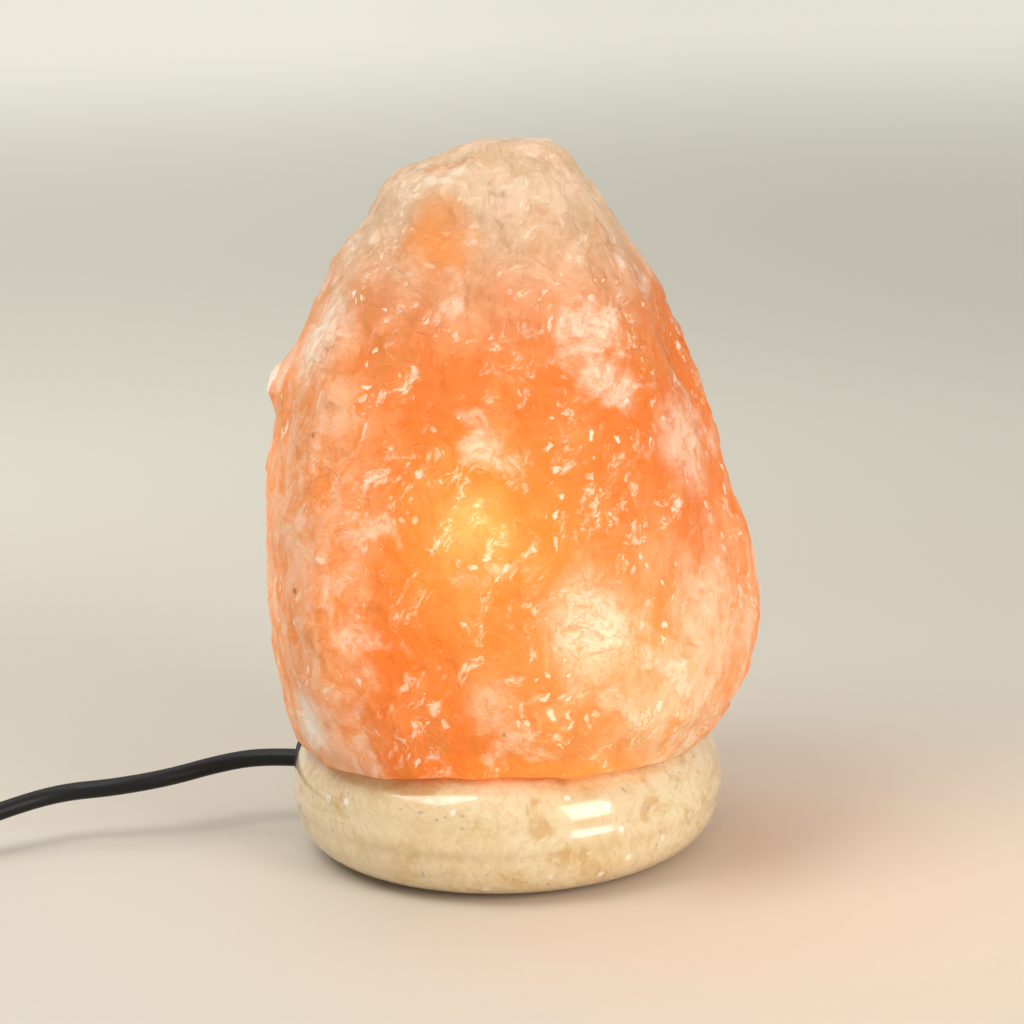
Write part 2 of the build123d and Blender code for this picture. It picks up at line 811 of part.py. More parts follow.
def switch_upper_shell():
    height = switch_height - split_height - close_gap / 2
    shell = Pos(0, 0, split_height + close_gap / 2) * extrude(switch_footprint(0), height)
    shell = fillet(shell.edges().group_by(Axis.Z)[-1], switch_edge_rounding)
    shell -= extrude(switch_footprint(switch_wall), switch_height - switch_wall)
    window_length = rocker_length + 2 * rocker_end_gap
    window_width = rocker_width + 2 * rocker_side_gap
    shell -= Pos(0, 0, switch_height) * Box(window_length, window_width, 3 * switch_wall)
    cheek = 1.8
    for side in (-1, 1):
        shell += Pos(0, side * (window_width / 2 + cheek / 2), rocker_pivot_height) * Box(6.5, cheek, 5.6)
    shell -= Pos(0, 0, rocker_pivot_height) * Rot(90, 0, 0) * Cylinder(
        rocker_pin_radius + close_gap, window_width + 2 * cheek + 1)
    shell += switch_bosses(switch_screw_radius + 1.4, split_height + close_gap / 2,
                           switch_height - switch_wall)
    shell -= switch_bosses(switch_screw_radius + close_gap, 0, switch_height - switch_wall - 1.5)
    return shell - cord_way


def switch_rocker():
    """Dished rocker, pressed down at the lamp's end: the switch is on."""
    half = rocker_length / 2
    outline = Plane.XZ * Polyline(
        (-half, rocker_rise),
        (0, rocker_dip),
        (half, rocker_rise),
        (half - 1.5, -rocker_depth),
        (-half + 1.5, -rocker_depth),
        close=True,
    )
    rocker = extrude(make_face(outline), rocker_width / 2, both=True)
    pin = Rot(90, 0, 0) * Cylinder(rocker_pin_radius, rocker_width + 2 * rocker_side_gap + 3.0)
    return Pos(0, 0, rocker_pivot_height) * Rot(0, -rocker_tilt, 0) * (rocker + pin)


def switch_screw(side):
    shank = Cylinder(switch_screw_radius, switch_height - switch_wall - 3.2,
                     align=standing)
    head = Cylinder(switch_screw_head, 1.1, align=standing)
    screw = head + shank - Box(2 * switch_screw_head, 0.6, 0.8)
    return Pos(side * switch_screw_x, side * switch_screw_y, 0.35) * screw


def switch_contact(side):
    """Brass strip from a boot's end to the middle of the switch."""
    reach = switch_length / 2 - switch_wall - 2.0
    strip = Box(reach - 1.0, 3.0, 0.8, align=(Align.MIN, Align.CENTER, Align.MIN))
    return Rot(0, 0, 0 if side > 0 else 180) * Pos(1.0, 0, switch_wall + 5.5) * strip


def switch_bridge():
    return Pos(0, 0, switch_wall + 6.3) * Box(7.0, 3.0, 0.6, align=standing)


def switch_neutral_link():
    """Brass block that joins the two neutral cores past the switch."""
    return Pos(0, -5.2, switch_wall + 5.5) * Box(9.0, 2.8, 1.8, align=standing)


# ---- the plug --------------------------------------------------------------------

def plug_frame():
    route, direction = tail_route()
    return route[-1], direction


def at_plug(shape):
    """Move a shape from the plug's own frame, X towards the pins, to its place."""
    place, direction = plug_frame()
    across = Vector(-direction.Y, direction.X, 0)
    start = place + direction * plug_boot_length
    return Plane(origin=start, x_dir=direction, z_dir=direction.cross(across)) * shape


def plug_body():
    rear, widest, front = plug_rear_width / 2, plug_width / 2, plug_front_width / 2
    shoulder = widest - plug_shoulder_drop
    left = [(0, rear), (plug_shoulder_at, shoulder), (plug_widest_at, widest), (plug_neck_at, shoulder),
            (plug_length, front)]
    right = [(along, -across) for along, across in reversed(left)]
    plan = Polyline(*left, *right, close=True)
    body = extrude(make_face(plan), plug_thickness / 2, both=True)
    rims = body.edges().group_by(Axis.Z)[0] + body.edges().group_by(Axis.Z)[-1]
    body = fillet(rims, plug_edge_rounding)
    for side in (-1, 1):
        centre = Pos(plug_length, side * pin_spacing / 2, 0) * Rot(0, 90, 0)
        body += centre * Cylinder(pin_sleeve_radius, pin_sleeve_length, align=standing)
        core = Cylinder(pin_core_radius + close_gap, plug_length, align=standing)
        body -= centre * Pos(0, 0, -pin_core_depth) * core
    return body


def plug_pin(side):
    tip_length = pin_length - pin_sleeve_length
    tip = Pos(0, 0, 6 + pin_sleeve_length) * Cylinder(pin_radius, tip_length,
                                                       align=standing)
    tip = fillet(tip.edges().filter_by(GeomType.CIRCLE).sort_by(Axis.Z)[-1], 1.2)
    core_rod = Cylinder(pin_core_radius, pin_length - 2 + 6, align=standing)
    return Pos(plug_length - 6, side * pin_spacing / 2, 0) * Rot(0, 90, 0) * (core_rod + tip)


def plug_boot():
    place, direction = plug_frame()
    return Plane(origin=place, z_dir=direction) * strain_relief(plug_boot_length, plug_boot_radius)


# ---- write every piece -----------------------------------------------------------

def pieces():
    yield "felt_ring", felt_ring()
    yield "stone_base", stone_base()
    yield "salt_crystal", salt_crystal()
    yield "cord_grommet", cord_grommet()
    yield "holder_spring_clip", holder_spring_clip()
    yield "holder_body", holder_body()
    yield "holder_lower_cap", holder_lower_cap()
    yield "holder_cord_grip", holder_cord_grip()
    yield "holder_contact_block", holder_contact_block()
    yield "holder_shell", holder_shell()
    yield "holder_centre_contact", holder_centre_contact()
    for side, name in ((1, "live"), (-1, "neutral")):
        yield "holder_terminal_" + name, holder_terminal(side)
        yield "holder_screw_" + name, holder_terminal_screw(side)
        yield "core_" + name, core(side)
    yield "cord_inside", cord_inside()
    yield "bulb_tip", bulb_tip()
    yield "bulb_insulator", bulb_insulator()
    yield "bulb_cap", bulb_cap()
    yield "bulb_glass", bulb_glass()
    yield "bulb_stem", bulb_stem()
    yield "bulb_filament", bulb_filament()
    yield "cord_lamp_side", lead("cord_lamp_side", lamp_route)
    yield "switch_boot_in", switch_boot(switch_entry, switch_run)
    yield "switch_boot_out", switch_boot(switch_exit, -switch_run)
    yield "switch_lower_shell", at_switch(switch_lower_shell())
    yield "switch_upper_shell", at_switch(switch_upper_shell())
    yield "switch_rocker", at_switch(switch_rocker())
    for side, name in ((-1, "in"), (1, "out")):
        yield "switch_screw_" + name, at_switch(switch_screw(side))
        yield "switch_contact_" + name, at_switch(switch_contact(side))
    yield "switch_bridge", at_switch(switch_bridge())
    yield "switch_neutral_link", at_switch(switch_neutral_link())
    yield "cord_to_coil", lead("cord_to_coil", coil_route_in)
    yield "cord_coil", cord_coil()
    yield "cord_tail", lead("cord_tail", tail_route()[0])
    yield "plug_boot", plug_boot()
    yield "plug_body", at_plug(plug_body())
    for side, name in ((1, "a"), (-1, "b")):
        yield "plug_pin_" + name, at_plug(plug_pin(side))


os.makedirs("parts", exist_ok=True)
for node, shape in pieces():
    export_step(shape, "parts/" + node + ".step")
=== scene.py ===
import math
import bpy
import numpy as np
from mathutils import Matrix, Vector


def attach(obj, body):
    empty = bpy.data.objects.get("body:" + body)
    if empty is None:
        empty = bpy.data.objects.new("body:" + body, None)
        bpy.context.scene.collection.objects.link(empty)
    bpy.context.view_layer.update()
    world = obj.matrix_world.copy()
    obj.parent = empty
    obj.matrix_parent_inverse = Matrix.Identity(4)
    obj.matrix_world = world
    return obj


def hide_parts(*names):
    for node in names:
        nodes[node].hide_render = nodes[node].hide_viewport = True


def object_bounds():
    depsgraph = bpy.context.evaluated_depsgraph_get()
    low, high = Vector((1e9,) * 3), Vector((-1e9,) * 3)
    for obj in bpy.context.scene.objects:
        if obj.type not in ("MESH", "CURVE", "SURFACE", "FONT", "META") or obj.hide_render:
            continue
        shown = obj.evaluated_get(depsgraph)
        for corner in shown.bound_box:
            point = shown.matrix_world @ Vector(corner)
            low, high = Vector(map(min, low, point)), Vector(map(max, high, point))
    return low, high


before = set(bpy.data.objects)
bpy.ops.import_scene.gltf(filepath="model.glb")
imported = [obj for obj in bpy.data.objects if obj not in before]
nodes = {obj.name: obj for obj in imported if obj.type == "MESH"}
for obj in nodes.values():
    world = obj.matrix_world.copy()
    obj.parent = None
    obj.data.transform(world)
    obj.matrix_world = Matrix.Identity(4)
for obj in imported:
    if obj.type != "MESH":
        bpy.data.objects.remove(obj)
cad_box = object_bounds()

# ---- camera ----------------------------------------------------------------------
# The photograph's view: a long lens a little above the lamp, looking down at it,
# with a slight roll.
camera_data = bpy.data.cameras.new("camera")
camera_data.lens = 100.0
camera_data.sensor_width = 36.0
camera_data.clip_end = 20.0
camera = bpy.data.objects.new("camera", camera_data)
camera.rotation_mode = "ZYX"
camera.location = (0.00359, -0.75968, 0.27183)
camera.rotation_euler = (math.radians(76.79), 0.0, math.radians(-1.75))
bpy.context.collection.objects.link(camera)
bpy.context.scene.camera = camera
bpy.context.scene.view_settings.view_transform = "Standard"

# ---- route of the mains lead -----------------------------------------------------
# Round black PVC flex. It leaves the grommet in the foot's side, hangs just over the
# table to the inline switch, lies in a two-layer coil and ends in the plug's boot.
lead_radius = 0.0025
lead_exit = np.array([-0.05899, 0.01471, 0.020])
switch_heading = math.radians(194.0)
switch_run = np.array([math.cos(switch_heading), math.sin(switch_heading), 0.0])
switch_side = np.array([-switch_run[1], switch_run[0], 0.0])
switch_entry = np.array([-0.168, -0.011, 0.009])
switch_length, boot_reach, lead_to_coil, coil_drop = 0.086, 0.0125, 0.0425, 0.0065
switch_exit = switch_entry + switch_length * switch_run
coil_start = switch_exit + lead_to_coil * switch_run - np.array([0.0, 0.0, coil_drop])
coil_lead_in = 0.005
coil_radius = 0.0397
coil_pitch = 0.0065
coil_rise = 0.0063
coil_halves_in = 6
coil_centre = coil_start + coil_lead_in * switch_run - coil_radius * switch_side
# Control points lie a little outside each half turn, so that the curve runs along it.
half_points = 8
turn_step = math.pi / half_points
outset = 1.0194
straight = coil_radius * outset * math.sin(turn_step / 2)
lead_route = [
    lead_exit,
    np.array([-0.06986, 0.01742, 0.020]),
    np.array([-0.0825, 0.0159, 0.0186]),
    np.array([-0.096, 0.0094, 0.017]),
    np.array([-0.1115, 0.0063, 0.0156]),
    np.array([-0.127, 0.0068, 0.0144]),
    np.array([-0.142, -0.001, 0.0124]),
    switch_entry - boot_reach * switch_run,
    switch_entry,
    switch_exit,
    switch_exit + boot_reach * switch_run,
    coil_start - boot_reach * switch_run,
    coil_start + (coil_lead_in - straight) * switch_run,
]
inwards = [coil_radius - i * coil_pitch / 2 for i in range(coil_halves_in + 1)]
join_radii = inwards + inwards[::-1]
join_levels = [lead_radius] * len(inwards) + [lead_radius + coil_rise] * len(inwards)
joins = []
for side_turn, (radius, level) in enumerate(zip(join_radii, join_levels)):
    join = coil_centre + (-1) ** side_turn * radius * switch_side
    joins.append(np.array([join[0], join[1], level]))
heading = switch_run
for start, end in zip(joins, joins[1:]):
    middle = (start + end) / 2
    reach = np.linalg.norm(end - start) / 2
    for part_turn in range(half_points):
        angle = (part_turn + 0.5) * turn_step
        swing = math.cos(angle) * (start - middle) + math.sin(angle) * reach * heading
        lead_route.append(middle + outset * swing)
    heading = -heading
coil_end = joins[-1]
# The tail leaves the coil straight, bends a little and comes down to the plug's boot.
tail_turn, tail_height = math.radians(17.0), 0.00685
tail_straight, tail_bend, tail_last = 0.016, 0.0055, 0.011
tail_across = np.array([heading[1], -heading[0], 0.0])
tail_heading = math.cos(tail_turn) * heading + math.sin(tail_turn) * tail_across
tail_first = coil_end + tail_straight * heading
tail_drop = np.array([0.0, 0.0, tail_height - coil_end[2]])
tail_second = tail_first + tail_bend * (heading + tail_heading) + tail_drop
tail_end = tail_second + tail_last * tail_heading
lead_route += [coil_end + straight * heading, tail_first, tail_second, tail_end]

lead_curve = bpy.data.curves.new("mains_lead", "CURVE")
lead_curve.dimensions = "3D"
# Each point's radius gives the thickness, because the curve's box counts it in full.
lead_curve.bevel_depth = 1.0
lead_curve.bevel_resolution = 6
lead_curve.resolution_u = 10
lead_curve.use_fill_caps = True
lead_spline = lead_curve.splines.new("NURBS")
lead_spline.points.add(len(lead_route) - 1)
for point, place in zip(lead_spline.points, lead_route):
    point.co = (*place, 1.0)
    point.radius = lead_radius
lead_spline.order_u = 3
lead_spline.use_endpoint_u = True
mains_lead = bpy.data.objects.new("mains_lead", lead_curve)
bpy.context.collection.objects.link(mains_lead)
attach(mains_lead, "foot")
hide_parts("cord_lamp_side", "cord_to_coil", "cord_coil", "cord_tail")

# ---- building blocks for meshes and finishes -------------------------------------
# Small helpers shared by the pieces below: closed grids of quads, smooth noise on
# points, nodes and node groups.


def skin_faces(rows, columns, looped):
    """Quads joining each ring to the next; the ends are joined too, or closed by flat faces."""
    row, column = np.meshgrid(np.arange(rows if looped else rows - 1), np.arange(columns), indexing="ij")
    next_row, after = (row + 1) % rows, (column + 1) % columns
    quads = np.stack([row * columns + column, row * columns + after,
                      next_row * columns + after, next_row * columns + column], axis=-1)
    faces = quads.reshape(-1, 4).tolist()
    if not looped:
        faces.append(list(range(columns - 1, -1, -1)))
        faces.append(list(range((rows - 1) * columns, rows * columns)))
    return faces


def mesh_piece(name, points, faces, smooth=True):
    """Object holding a mesh of the given points and faces, in metres."""
    mesh = bpy.data.meshes.new(name)
    mesh.from_pydata(points.reshape(-1, 3).tolist(), [], faces)
    mesh.polygons.foreach_set("use_smooth", np.full(len(mesh.polygons), smooth))
    mesh.update()
    piece = bpy.data.objects.new(name, mesh)
    bpy.context.collection.objects.link(piece)
    return piece


def skin(name, rings, looped=False, smooth=True):
    """Closed skin over rings of points, given as rows of as many points each."""
    return mesh_piece(name, rings, skin_faces(rings.shape[0], rings.shape[1], looped), smooth)


def revolved(outline, columns):
    """Rings of the outline of (radius, height) points turned once round the upright axis."""
    outline = np.array(outline)
    turn = np.linspace(0, 2 * np.pi, columns, endpoint=False)
    return np.stack([outline[:, :1] * np.cos(turn), outline[:, :1] * np.sin(turn),
                     np.repeat(outline[:, 1:], columns, axis=1)], axis=-1)


def noise(points, cell, seed):
    """Smooth noise from -1 to 1: random values on a lattice, blended by cubic steps."""
    table = np.random.default_rng(seed).uniform(-1, 1, 4096)
    place = points / cell + 1000.0
    base = np.floor(place).astype(np.int64)
    part = place - base
    part = part * part * (3 - 2 * part)
    total = 0.0
    for corner in range(8):
        step = np.array([corner & 1, corner >> 1 & 1, corner >> 2 & 1])
        weight = np.prod(np.where(step == 1, part, 1 - part), axis=-1)
        key = (base + step) @ np.array([73856093, 19349663, 83492791]) % 4096
        total = total + weight * table[key]
    return total


def facets(points, centres, tilt, rise, seed):
    """Height of small tilted planes, one for each centre, on the points nearest to it."""
    random = np.random.default_rng(seed)
    slopes = random.uniform(-tilt, tilt, (len(centres), 3))
    heights = random.uniform(-rise, rise, len(centres))
    nearest = np.empty(len(points), dtype=int)
    size = 8000
    for first in range(0, len(points), size):
        part = points[first:first + size]
        away = ((part[:, None, :] - centres[None, :, :]) ** 2).sum(axis=-1)
        nearest[first:first + size] = away.argmin(axis=1)
    return heights[nearest] + (slopes[nearest] * (points - centres[nearest])).sum(axis=-1)


def put(tree, kind, sockets=None, **settings):
    """Adds a node: settings are its own, sockets are values or links for its inputs."""
    node = tree.nodes.new("ShaderNode" + kind)
    for key, value in settings.items():
        setattr(node, key, value)
    for key, value in (sockets or {}).items():
        if isinstance(value, bpy.types.NodeSocket):
            tree.links.new(value, node.inputs[key])
        elif isinstance(value, tuple) and len(value) == 3 and node.inputs[key].type == "RGBA":
            node.inputs[key].default_value = (*value, 1.0)
        else:
            node.inputs[key].default_value = value
    return node


def maths(tree, operation, first, second=0.0):
    """Result of a sum on one or two values."""
    return put(tree, "Math", {0: first, 1: second}, operation=operation).outputs[0]


def blend(tree, share, first, second, how="MIX"):
    """Colour that goes from the first to the second with the share."""
    node = put(tree, "Mix", data_type="RGBA", blend_type=how)
    for place, value in ((0, share), (6, first), (7, second)):
        if isinstance(value, bpy.types.NodeSocket):
            tree.links.new(value, node.inputs[place])
        elif place == 0:
            node.inputs[0].default_value = value
        else:
            node.inputs[place].default_value = (*value, 1.0)
    return node.outputs[2]


def between(tree, value, low, high, start=0.0, end=1.0):
    """Smooth step of a value from start to end as it goes from low to high."""
    sockets = {"Value": value, "From Min": low, "From Max": high, "To Min": start, "To Max": end}
    return put(tree, "MapRange", sockets, interpolation_type="SMOOTHSTEP").outputs["Result"]


def noise_at(tree, where, scale, detail=4.0, roughness=0.55):
    """Soft noise from 0 to 1 of a scale in cells a metre."""
    node = put(tree, "TexNoise", {"Vector": where, "Scale": scale, "Detail": detail, "Roughness": roughness})
    return node.outputs["Fac"]


def cells_at(tree, where, scale):
    """Distance from the middle of the nearest of scattered cells."""
    return put(tree, "TexVoronoi", {"Vector": where, "Scale": scale}).outputs["Distance"]


def distance_to(tree, where, place):
    """Distance in metres from a place."""
    return put(tree, "VectorMath", {0: where, 1: place}, operation="DISTANCE").outputs["Value"]


def times(tree, *factors):
    """Product of the factors."""
    total = factors[0]
    for factor in factors[1:]:
        total = maths(tree, "MULTIPLY", total, factor)
    return total


def largest(tree, *values):
    """Largest of the values."""
    most = values[0]
    for value in values[1:]:
        most = maths(tree, "MAXIMUM", most, value)
    return most


def group(name, inputs, outputs):
    """Empty node group with the named input and output sockets."""
    tree = bpy.data.node_groups.new(name, "ShaderNodeTree")
    for socket, kind, value in inputs:
        made = tree.interface.new_socket(socket, in_out="INPUT", socket_type="NodeSocket" + kind)
        made.default_value = value
    for socket, kind in outputs:
        tree.interface.new_socket(socket, in_out="OUTPUT", socket_type="NodeSocket" + kind)
    return tree, tree.nodes.new("NodeGroupInput"), tree.nodes.new("NodeGroupOutput")


def use(tree, shared, **sockets):
    """Node of a shared group, with values or links for its inputs."""
    node = tree.nodes.new("ShaderNodeGroup")
    node.node_tree = shared
    for key, value in sockets.items():
        if isinstance(value, bpy.types.NodeSocket):
            tree.links.new(value, node.inputs[key])
        else:
            node.inputs[key].default_value = value
    return node


def material(name):
    """New material: itself, its tree, its shader and the object's own coordinates."""
    made = bpy.data.materials.new(name)
    made.use_nodes = True
    tree = made.node_tree
    shader = tree.nodes["Principled BSDF"]
    where = put(tree, "TexCoord").outputs["Object"]
    return made, tree, shader, where


def wear(shared, made):
    """Gives a CAD node or a piece its material."""
    shared.data.materials.clear()
    shared.data.materials.append(made)


# Moulded or drawn surface: colour drifting between two tones, roughness with it, and
# a fine grain that tilts the surface.
grain_depth = 0.0002
moulded, taken, given = group(
    "moulded_surface",
    [("Light", "Color", (0.5, 0.5, 0.5, 1)), ("Dark", "Color", (0.2, 0.2, 0.2, 1)), ("Patch", "Float", 60.0),
     ("Grain", "Float", 1500.0), ("Depth", "Float", 0.2), ("Smooth", "Float", 0.4), ("Rough", "Float", 0.6)],
    [("Color", "Color"), ("Roughness", "Float"), ("Normal", "Vector")])
spot = put(moulded, "TexCoord").outputs["Object"]
drift = noise_at(moulded, spot, taken.outputs["Patch"])
tones = put(moulded, "Mix", data_type="RGBA")
moulded.links.new(drift, tones.inputs[0])
moulded.links.new(taken.outputs["Dark"], tones.inputs[6])
moulded.links.new(taken.outputs["Light"], tones.inputs[7])
moulded.links.new(tones.outputs[2], given.inputs["Color"])
levels = put(moulded, "MapRange", {"Value": drift, "To Min": taken.outputs["Smooth"],
                                   "To Max": taken.outputs["Rough"]})
moulded.links.new(levels.outputs["Result"], given.inputs["Roughness"])
grain = noise_at(moulded, spot, taken.outputs["Grain"], 3.0)
tilt = put(moulded, "Bump", {"Height": grain, "Strength": taken.outputs["Depth"],
                            "Distance": grain_depth})
moulded.links.new(tilt.outputs["Normal"], given.inputs["Normal"])


def surfaced(name, light, dark, smooth, rough, grain=1500.0, depth=0.2, metallic=0.0, shine=0.5):
    """Material with the shared moulded surface."""
    made, tree, shader, where = material(name)
    node = use(tree, moulded, Light=(*light, 1), Dark=(*dark, 1), Grain=grain, Depth=depth, Smooth=smooth,
               Rough=rough)
    tree.links.new(node.outputs["Color"], shader.inputs["Base Color"])
    tree.links.new(node.outputs["Roughness"], shader.inputs["Roughness"])
    tree.links.new(node.outputs["Normal"], shader.inputs["Normal"])
    shader.inputs["Metallic"].default_value = metallic
    shader.inputs["Specular IOR Level"].default_value = shine
    return made


wear(mains_lead, surfaced("flex_sheath", (0.010, 0.010, 0.010), (0.006, 0.006, 0.006), 0.36, 0.50,
                          grain=2500.0, shine=0.25))

# ---- table and light -------------------------------------------------------------
# A wide pale cream table in a plain bright room, under a large soft light over the
# lamp's left shoulder, a fill light behind it and a lower light to its right.
table_half = 9.0
table_corners = table_half * np.array([[-1, -1, 0], [1, -1, 0], [1, 1, 0], [-1, 1, 0]])
table = mesh_piece("table", table_corners, [(0, 1, 2, 3)])
cream, cream_beyond = (0.61, 0.575, 0.505), (0.71, 0.685, 0.59)
# The darker right tone below is painted shade.
cream_far, cream_in_painted_shade = (0.88, 0.865, 0.79), (0.40, 0.385, 0.34)
# The warm tone below is a painted pool of the lamp's glow.
painted_lamp_glow, painted_glow_middle, fibre_shade = (0.76, 0.60, 0.47), (0.10, -0.05, 0.0), (0.45, 0.41, 0.34)
haze_light, no_light = (0.34, 0.33, 0.29), (0.0, 0.0, 0.0)
cloth, tree, shader, where = material("table_top")
right = put(tree, "SeparateXYZ", {"Vector": where}).outputs["X"]
from_lamp = put(tree, "VectorMath", {0: where}, operation="LENGTH").outputs["Value"]
tone = blend(tree, between(tree, from_lamp, 0.15, 0.65), cream, cream_beyond)
tone = blend(tree, between(tree, from_lamp, 0.7, 3.0), tone, cream_far)
# Painted shade: the table is painted darker towards the right.
tone = blend(tree, between(tree, right, -0.3, 0.3, 0.0, 0.24), tone, cream_in_painted_shade)
# Painted light: a warm pool of the lamp's glow is painted on the table beside the lamp.
painted_glow_share = between(tree, distance_to(tree, where, painted_glow_middle), 0.03, 0.20, 0.75, 0.0)
tone = blend(tree, painted_glow_share, tone, painted_lamp_glow)
fibre = noise_at(tree, where, 900.0, 3.0)
tone = blend(tree, times(tree, fibre, 0.06), tone, fibre_shade)
tree.links.new(tone, shader.inputs["Base Color"])
tree.links.new(between(tree, fibre, 0.3, 0.7, 0.75, 0.9), shader.inputs["Roughness"])
shader.inputs["Specular IOR Level"].default_value = 0.2
# Far from the lights the table brightens towards the room.
haze = blend(tree, between(tree, from_lamp, 0.6, 3.6), no_light, haze_light)
tree.links.new(haze, shader.inputs["Emission Color"])
shader.inputs["Emission Strength"].default_value = 1.0
wear(table, cloth)

# The room lights the lamp evenly, and is seen beyond the table in the table's far tone.
room_light, room_seen = (0.56, 0.552, 0.532), (0.84, 0.81, 0.72)
world = bpy.data.worlds.new("studio")
world.use_nodes = True
sky = world.node_tree
ray = put(sky, "LightPath")
seen = largest(sky, ray.outputs["Is Camera Ray"], ray.outputs["Is Transmission Ray"])
sky.links.new(blend(sky, seen, room_light, room_seen), sky.nodes["Background"].inputs["Color"])
bpy.context.scene.world = world


def soft_box(name, place, target, width, height, power, colour, spread=180.0):
    """Rectangular light at a place, facing a target: sides in metres, watts, spread in degrees."""
    lamp = bpy.data.lights.new(name, "AREA")
    lamp.shape = "RECTANGLE"
    lamp.size, lamp.size_y = width, height
    lamp.energy = power
    lamp.color = colour
    lamp.spread = math.radians(spread)
    holder = bpy.data.objects.new(name, lamp)
    holder.location = place
    away = Vector(place) - Vector(target)
    holder.rotation_euler = away.to_track_quat("Z", "Y").to_euler()
    holder.visible_camera = False
    bpy.context.collection.objects.link(holder)


soft_box("key", (-0.66, -0.38, 1.2), (0, 0, 0.06), 0.7, 0.7, 9.0, (1.0, 0.98, 0.94))
soft_box("fill", (-0.3, 0.5, 1.4), (0, 0, 0.08), 0.9, 0.9, 4.5, (1.0, 0.98, 0.95))
soft_box("window", (0.80, -0.86, 0.46), (0, 0, 0.05), 0.50, 0.80, 1.75, (1.0, 0.95, 0.88), spread=70.0)

# ---- stone foot ------------------------------------------------------------------
# Turned and polished cream limestone with fossil rings and ochre veins. A bore takes
# the lampholder from above and a drilled side hole takes the lead's grommet.
foot_bottom, foot_top, foot_radius, foot_bulge, foot_rounding = 0.001, 0.034, 0.060, 0.0008, 0.013
foot_bore, foot_chamfer, foot_inner_ring, foot_columns = 0.020, 0.001, 0.030, 256
foot_side = foot_radius - foot_bulge
foot_flat = foot_side - foot_rounding
arc = np.linspace(0, np.pi / 2, 15)
mid = np.linspace(-1, 1, 7)[1:-1]
lower = np.stack([foot_flat + foot_rounding * np.sin(arc),
                  foot_bottom + foot_rounding * (1 - np.cos(arc))], axis=-1)
side = np.stack([foot_side + foot_bulge * (1 - mid ** 2),
                 (foot_bottom + foot_top) / 2 + mid * ((foot_top - foot_bottom) / 2 - foot_rounding)], axis=-1)
upper = np.stack([foot_flat + foot_rounding * np.cos(arc),
                  foot_top - foot_rounding * (1 - np.sin(arc))], axis=-1)
bore = np.array([[foot_inner_ring, foot_top], [foot_bore + foot_chamfer, foot_top],
                 [foot_bore, foot_top - foot_chamfer], [foot_bore, 0.018], [foot_bore, foot_bottom],
                 [foot_inner_ring, foot_bottom]])
foot_outline = np.concatenate([lower, side, upper, bore])
stone_foot = skin("stone_foot", revolved(foot_outline, foot_columns), looped=True)
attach(stone_foot, "foot")
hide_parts("stone_base")

# Round hole for the grommet, drilled from the side.
hole_azimuth, hole_height, hole_radius = math.radians(166.0), 0.020, 0.0042
hole_seat, hole_seat_radius, hole_start, hole_end = 0.0584, 0.0065, 0.010, 0.070
hole_out = np.array([math.cos(hole_azimuth), math.sin(hole_azimuth), 0.0])
hole_across = np.array([-hole_out[1], hole_out[0], 0.0])
turn = np.linspace(0, 2 * np.pi, 48, endpoint=False)
drill = np.array([[hole_start, hole_radius], [hole_seat, hole_radius], [hole_seat, hole_seat_radius],
                  [hole_end, hole_seat_radius]])
drill_ring = np.cos(turn)[:, None] * hole_across + np.sin(turn)[:, None] * np.array([0, 0, 1])
drill_rings = drill[:, :1, None] * hole_out + drill[:, 1:, None] * drill_ring + np.array([0, 0, hole_height])
hole_cutter = skin("hole_cutter", drill_rings, smooth=False)
hole_cutter.hide_render = True
drilled = stone_foot.modifiers.new("side_hole", "BOOLEAN")
drilled.object = hole_cutter
drilled.operation = "DIFFERENCE"

# Cream stone with swirls, an ochre vein at the front left, fossil rings, pale chips and
# dark specks.
stone_cream, stone_buff = (0.78, 0.65, 0.42), (0.71, 0.54, 0.29)
stone_brown, stone_ochre, fossil_brown = (0.64, 0.43, 0.21), (0.60, 0.35, 0.13), (0.62, 0.34, 0.13)
chip_white, speck_grey = (0.88, 0.84, 0.74), (0.33, 0.30, 0.26)
marble, tree, shader, where = material("fossil_limestone")
cloud = put(tree, "TexNoise", {"Vector": where, "Scale": 26.0, "Detail": 3.0}).outputs["Color"]
shift = put(tree, "VectorMath", {0: cloud, "Scale": 0.03}, operation="SCALE").outputs["Vector"]
swirl = put(tree, "VectorMath", {0: where, 1: shift}, operation="ADD").outputs["Vector"]
cloudy = noise_at(tree, swirl, 45.0, 6.0, 0.6)
tone = blend(tree, between(tree, cloudy, 0.35, 0.68), stone_cream, stone_buff)
ochre = between(tree, noise_at(tree, swirl, 90.0, 5.0, 0.62), 0.54, 0.66)
upright = put(tree, "Mapping", {"Vector": swirl, "Scale": (1.0, 1.0, 2.4)},
              vector_type="TEXTURE").outputs["Vector"]
vein = between(tree, distance_to(tree, upright, (-0.015, -0.041, 0.014)), 0.002, 0.011, 1.0, 0.0)
vein = times(tree, vein, between(tree, noise_at(tree, where, 300.0, 4.0), 0.42, 0.56))
mottle = between(tree, noise_at(tree, swirl, 330.0, 6.0, 0.7), 0.47, 0.58)
tone = blend(tree, times(tree, mottle, 0.42), tone, stone_brown)
tone = blend(tree, times(tree, largest(tree, ochre, vein), 0.7), tone, stone_ochre)
off_ring = maths(tree, "ABSOLUTE", maths(tree, "SUBTRACT", cells_at(tree, swirl, 42.0), 0.32))
ring = maths(tree, "SUBTRACT", 1.0, between(tree, off_ring, 0.0, 0.06))
few = between(tree, noise_at(tree, where, 28.0, 1.0), 0.52, 0.62)
tone = blend(tree, times(tree, ring, few, 0.75), tone, fossil_brown)
chips = between(tree, cells_at(tree, where, 120.0), 0.16, 0.08)
tone = blend(tree, times(tree, chips, 0.8), tone, chip_white)
specks = between(tree, cells_at(tree, swirl, 210.0), 0.16, 0.06)
tone = blend(tree, times(tree, specks, 0.55), tone, speck_grey)
tree.links.new(tone, shader.inputs["Base Color"])
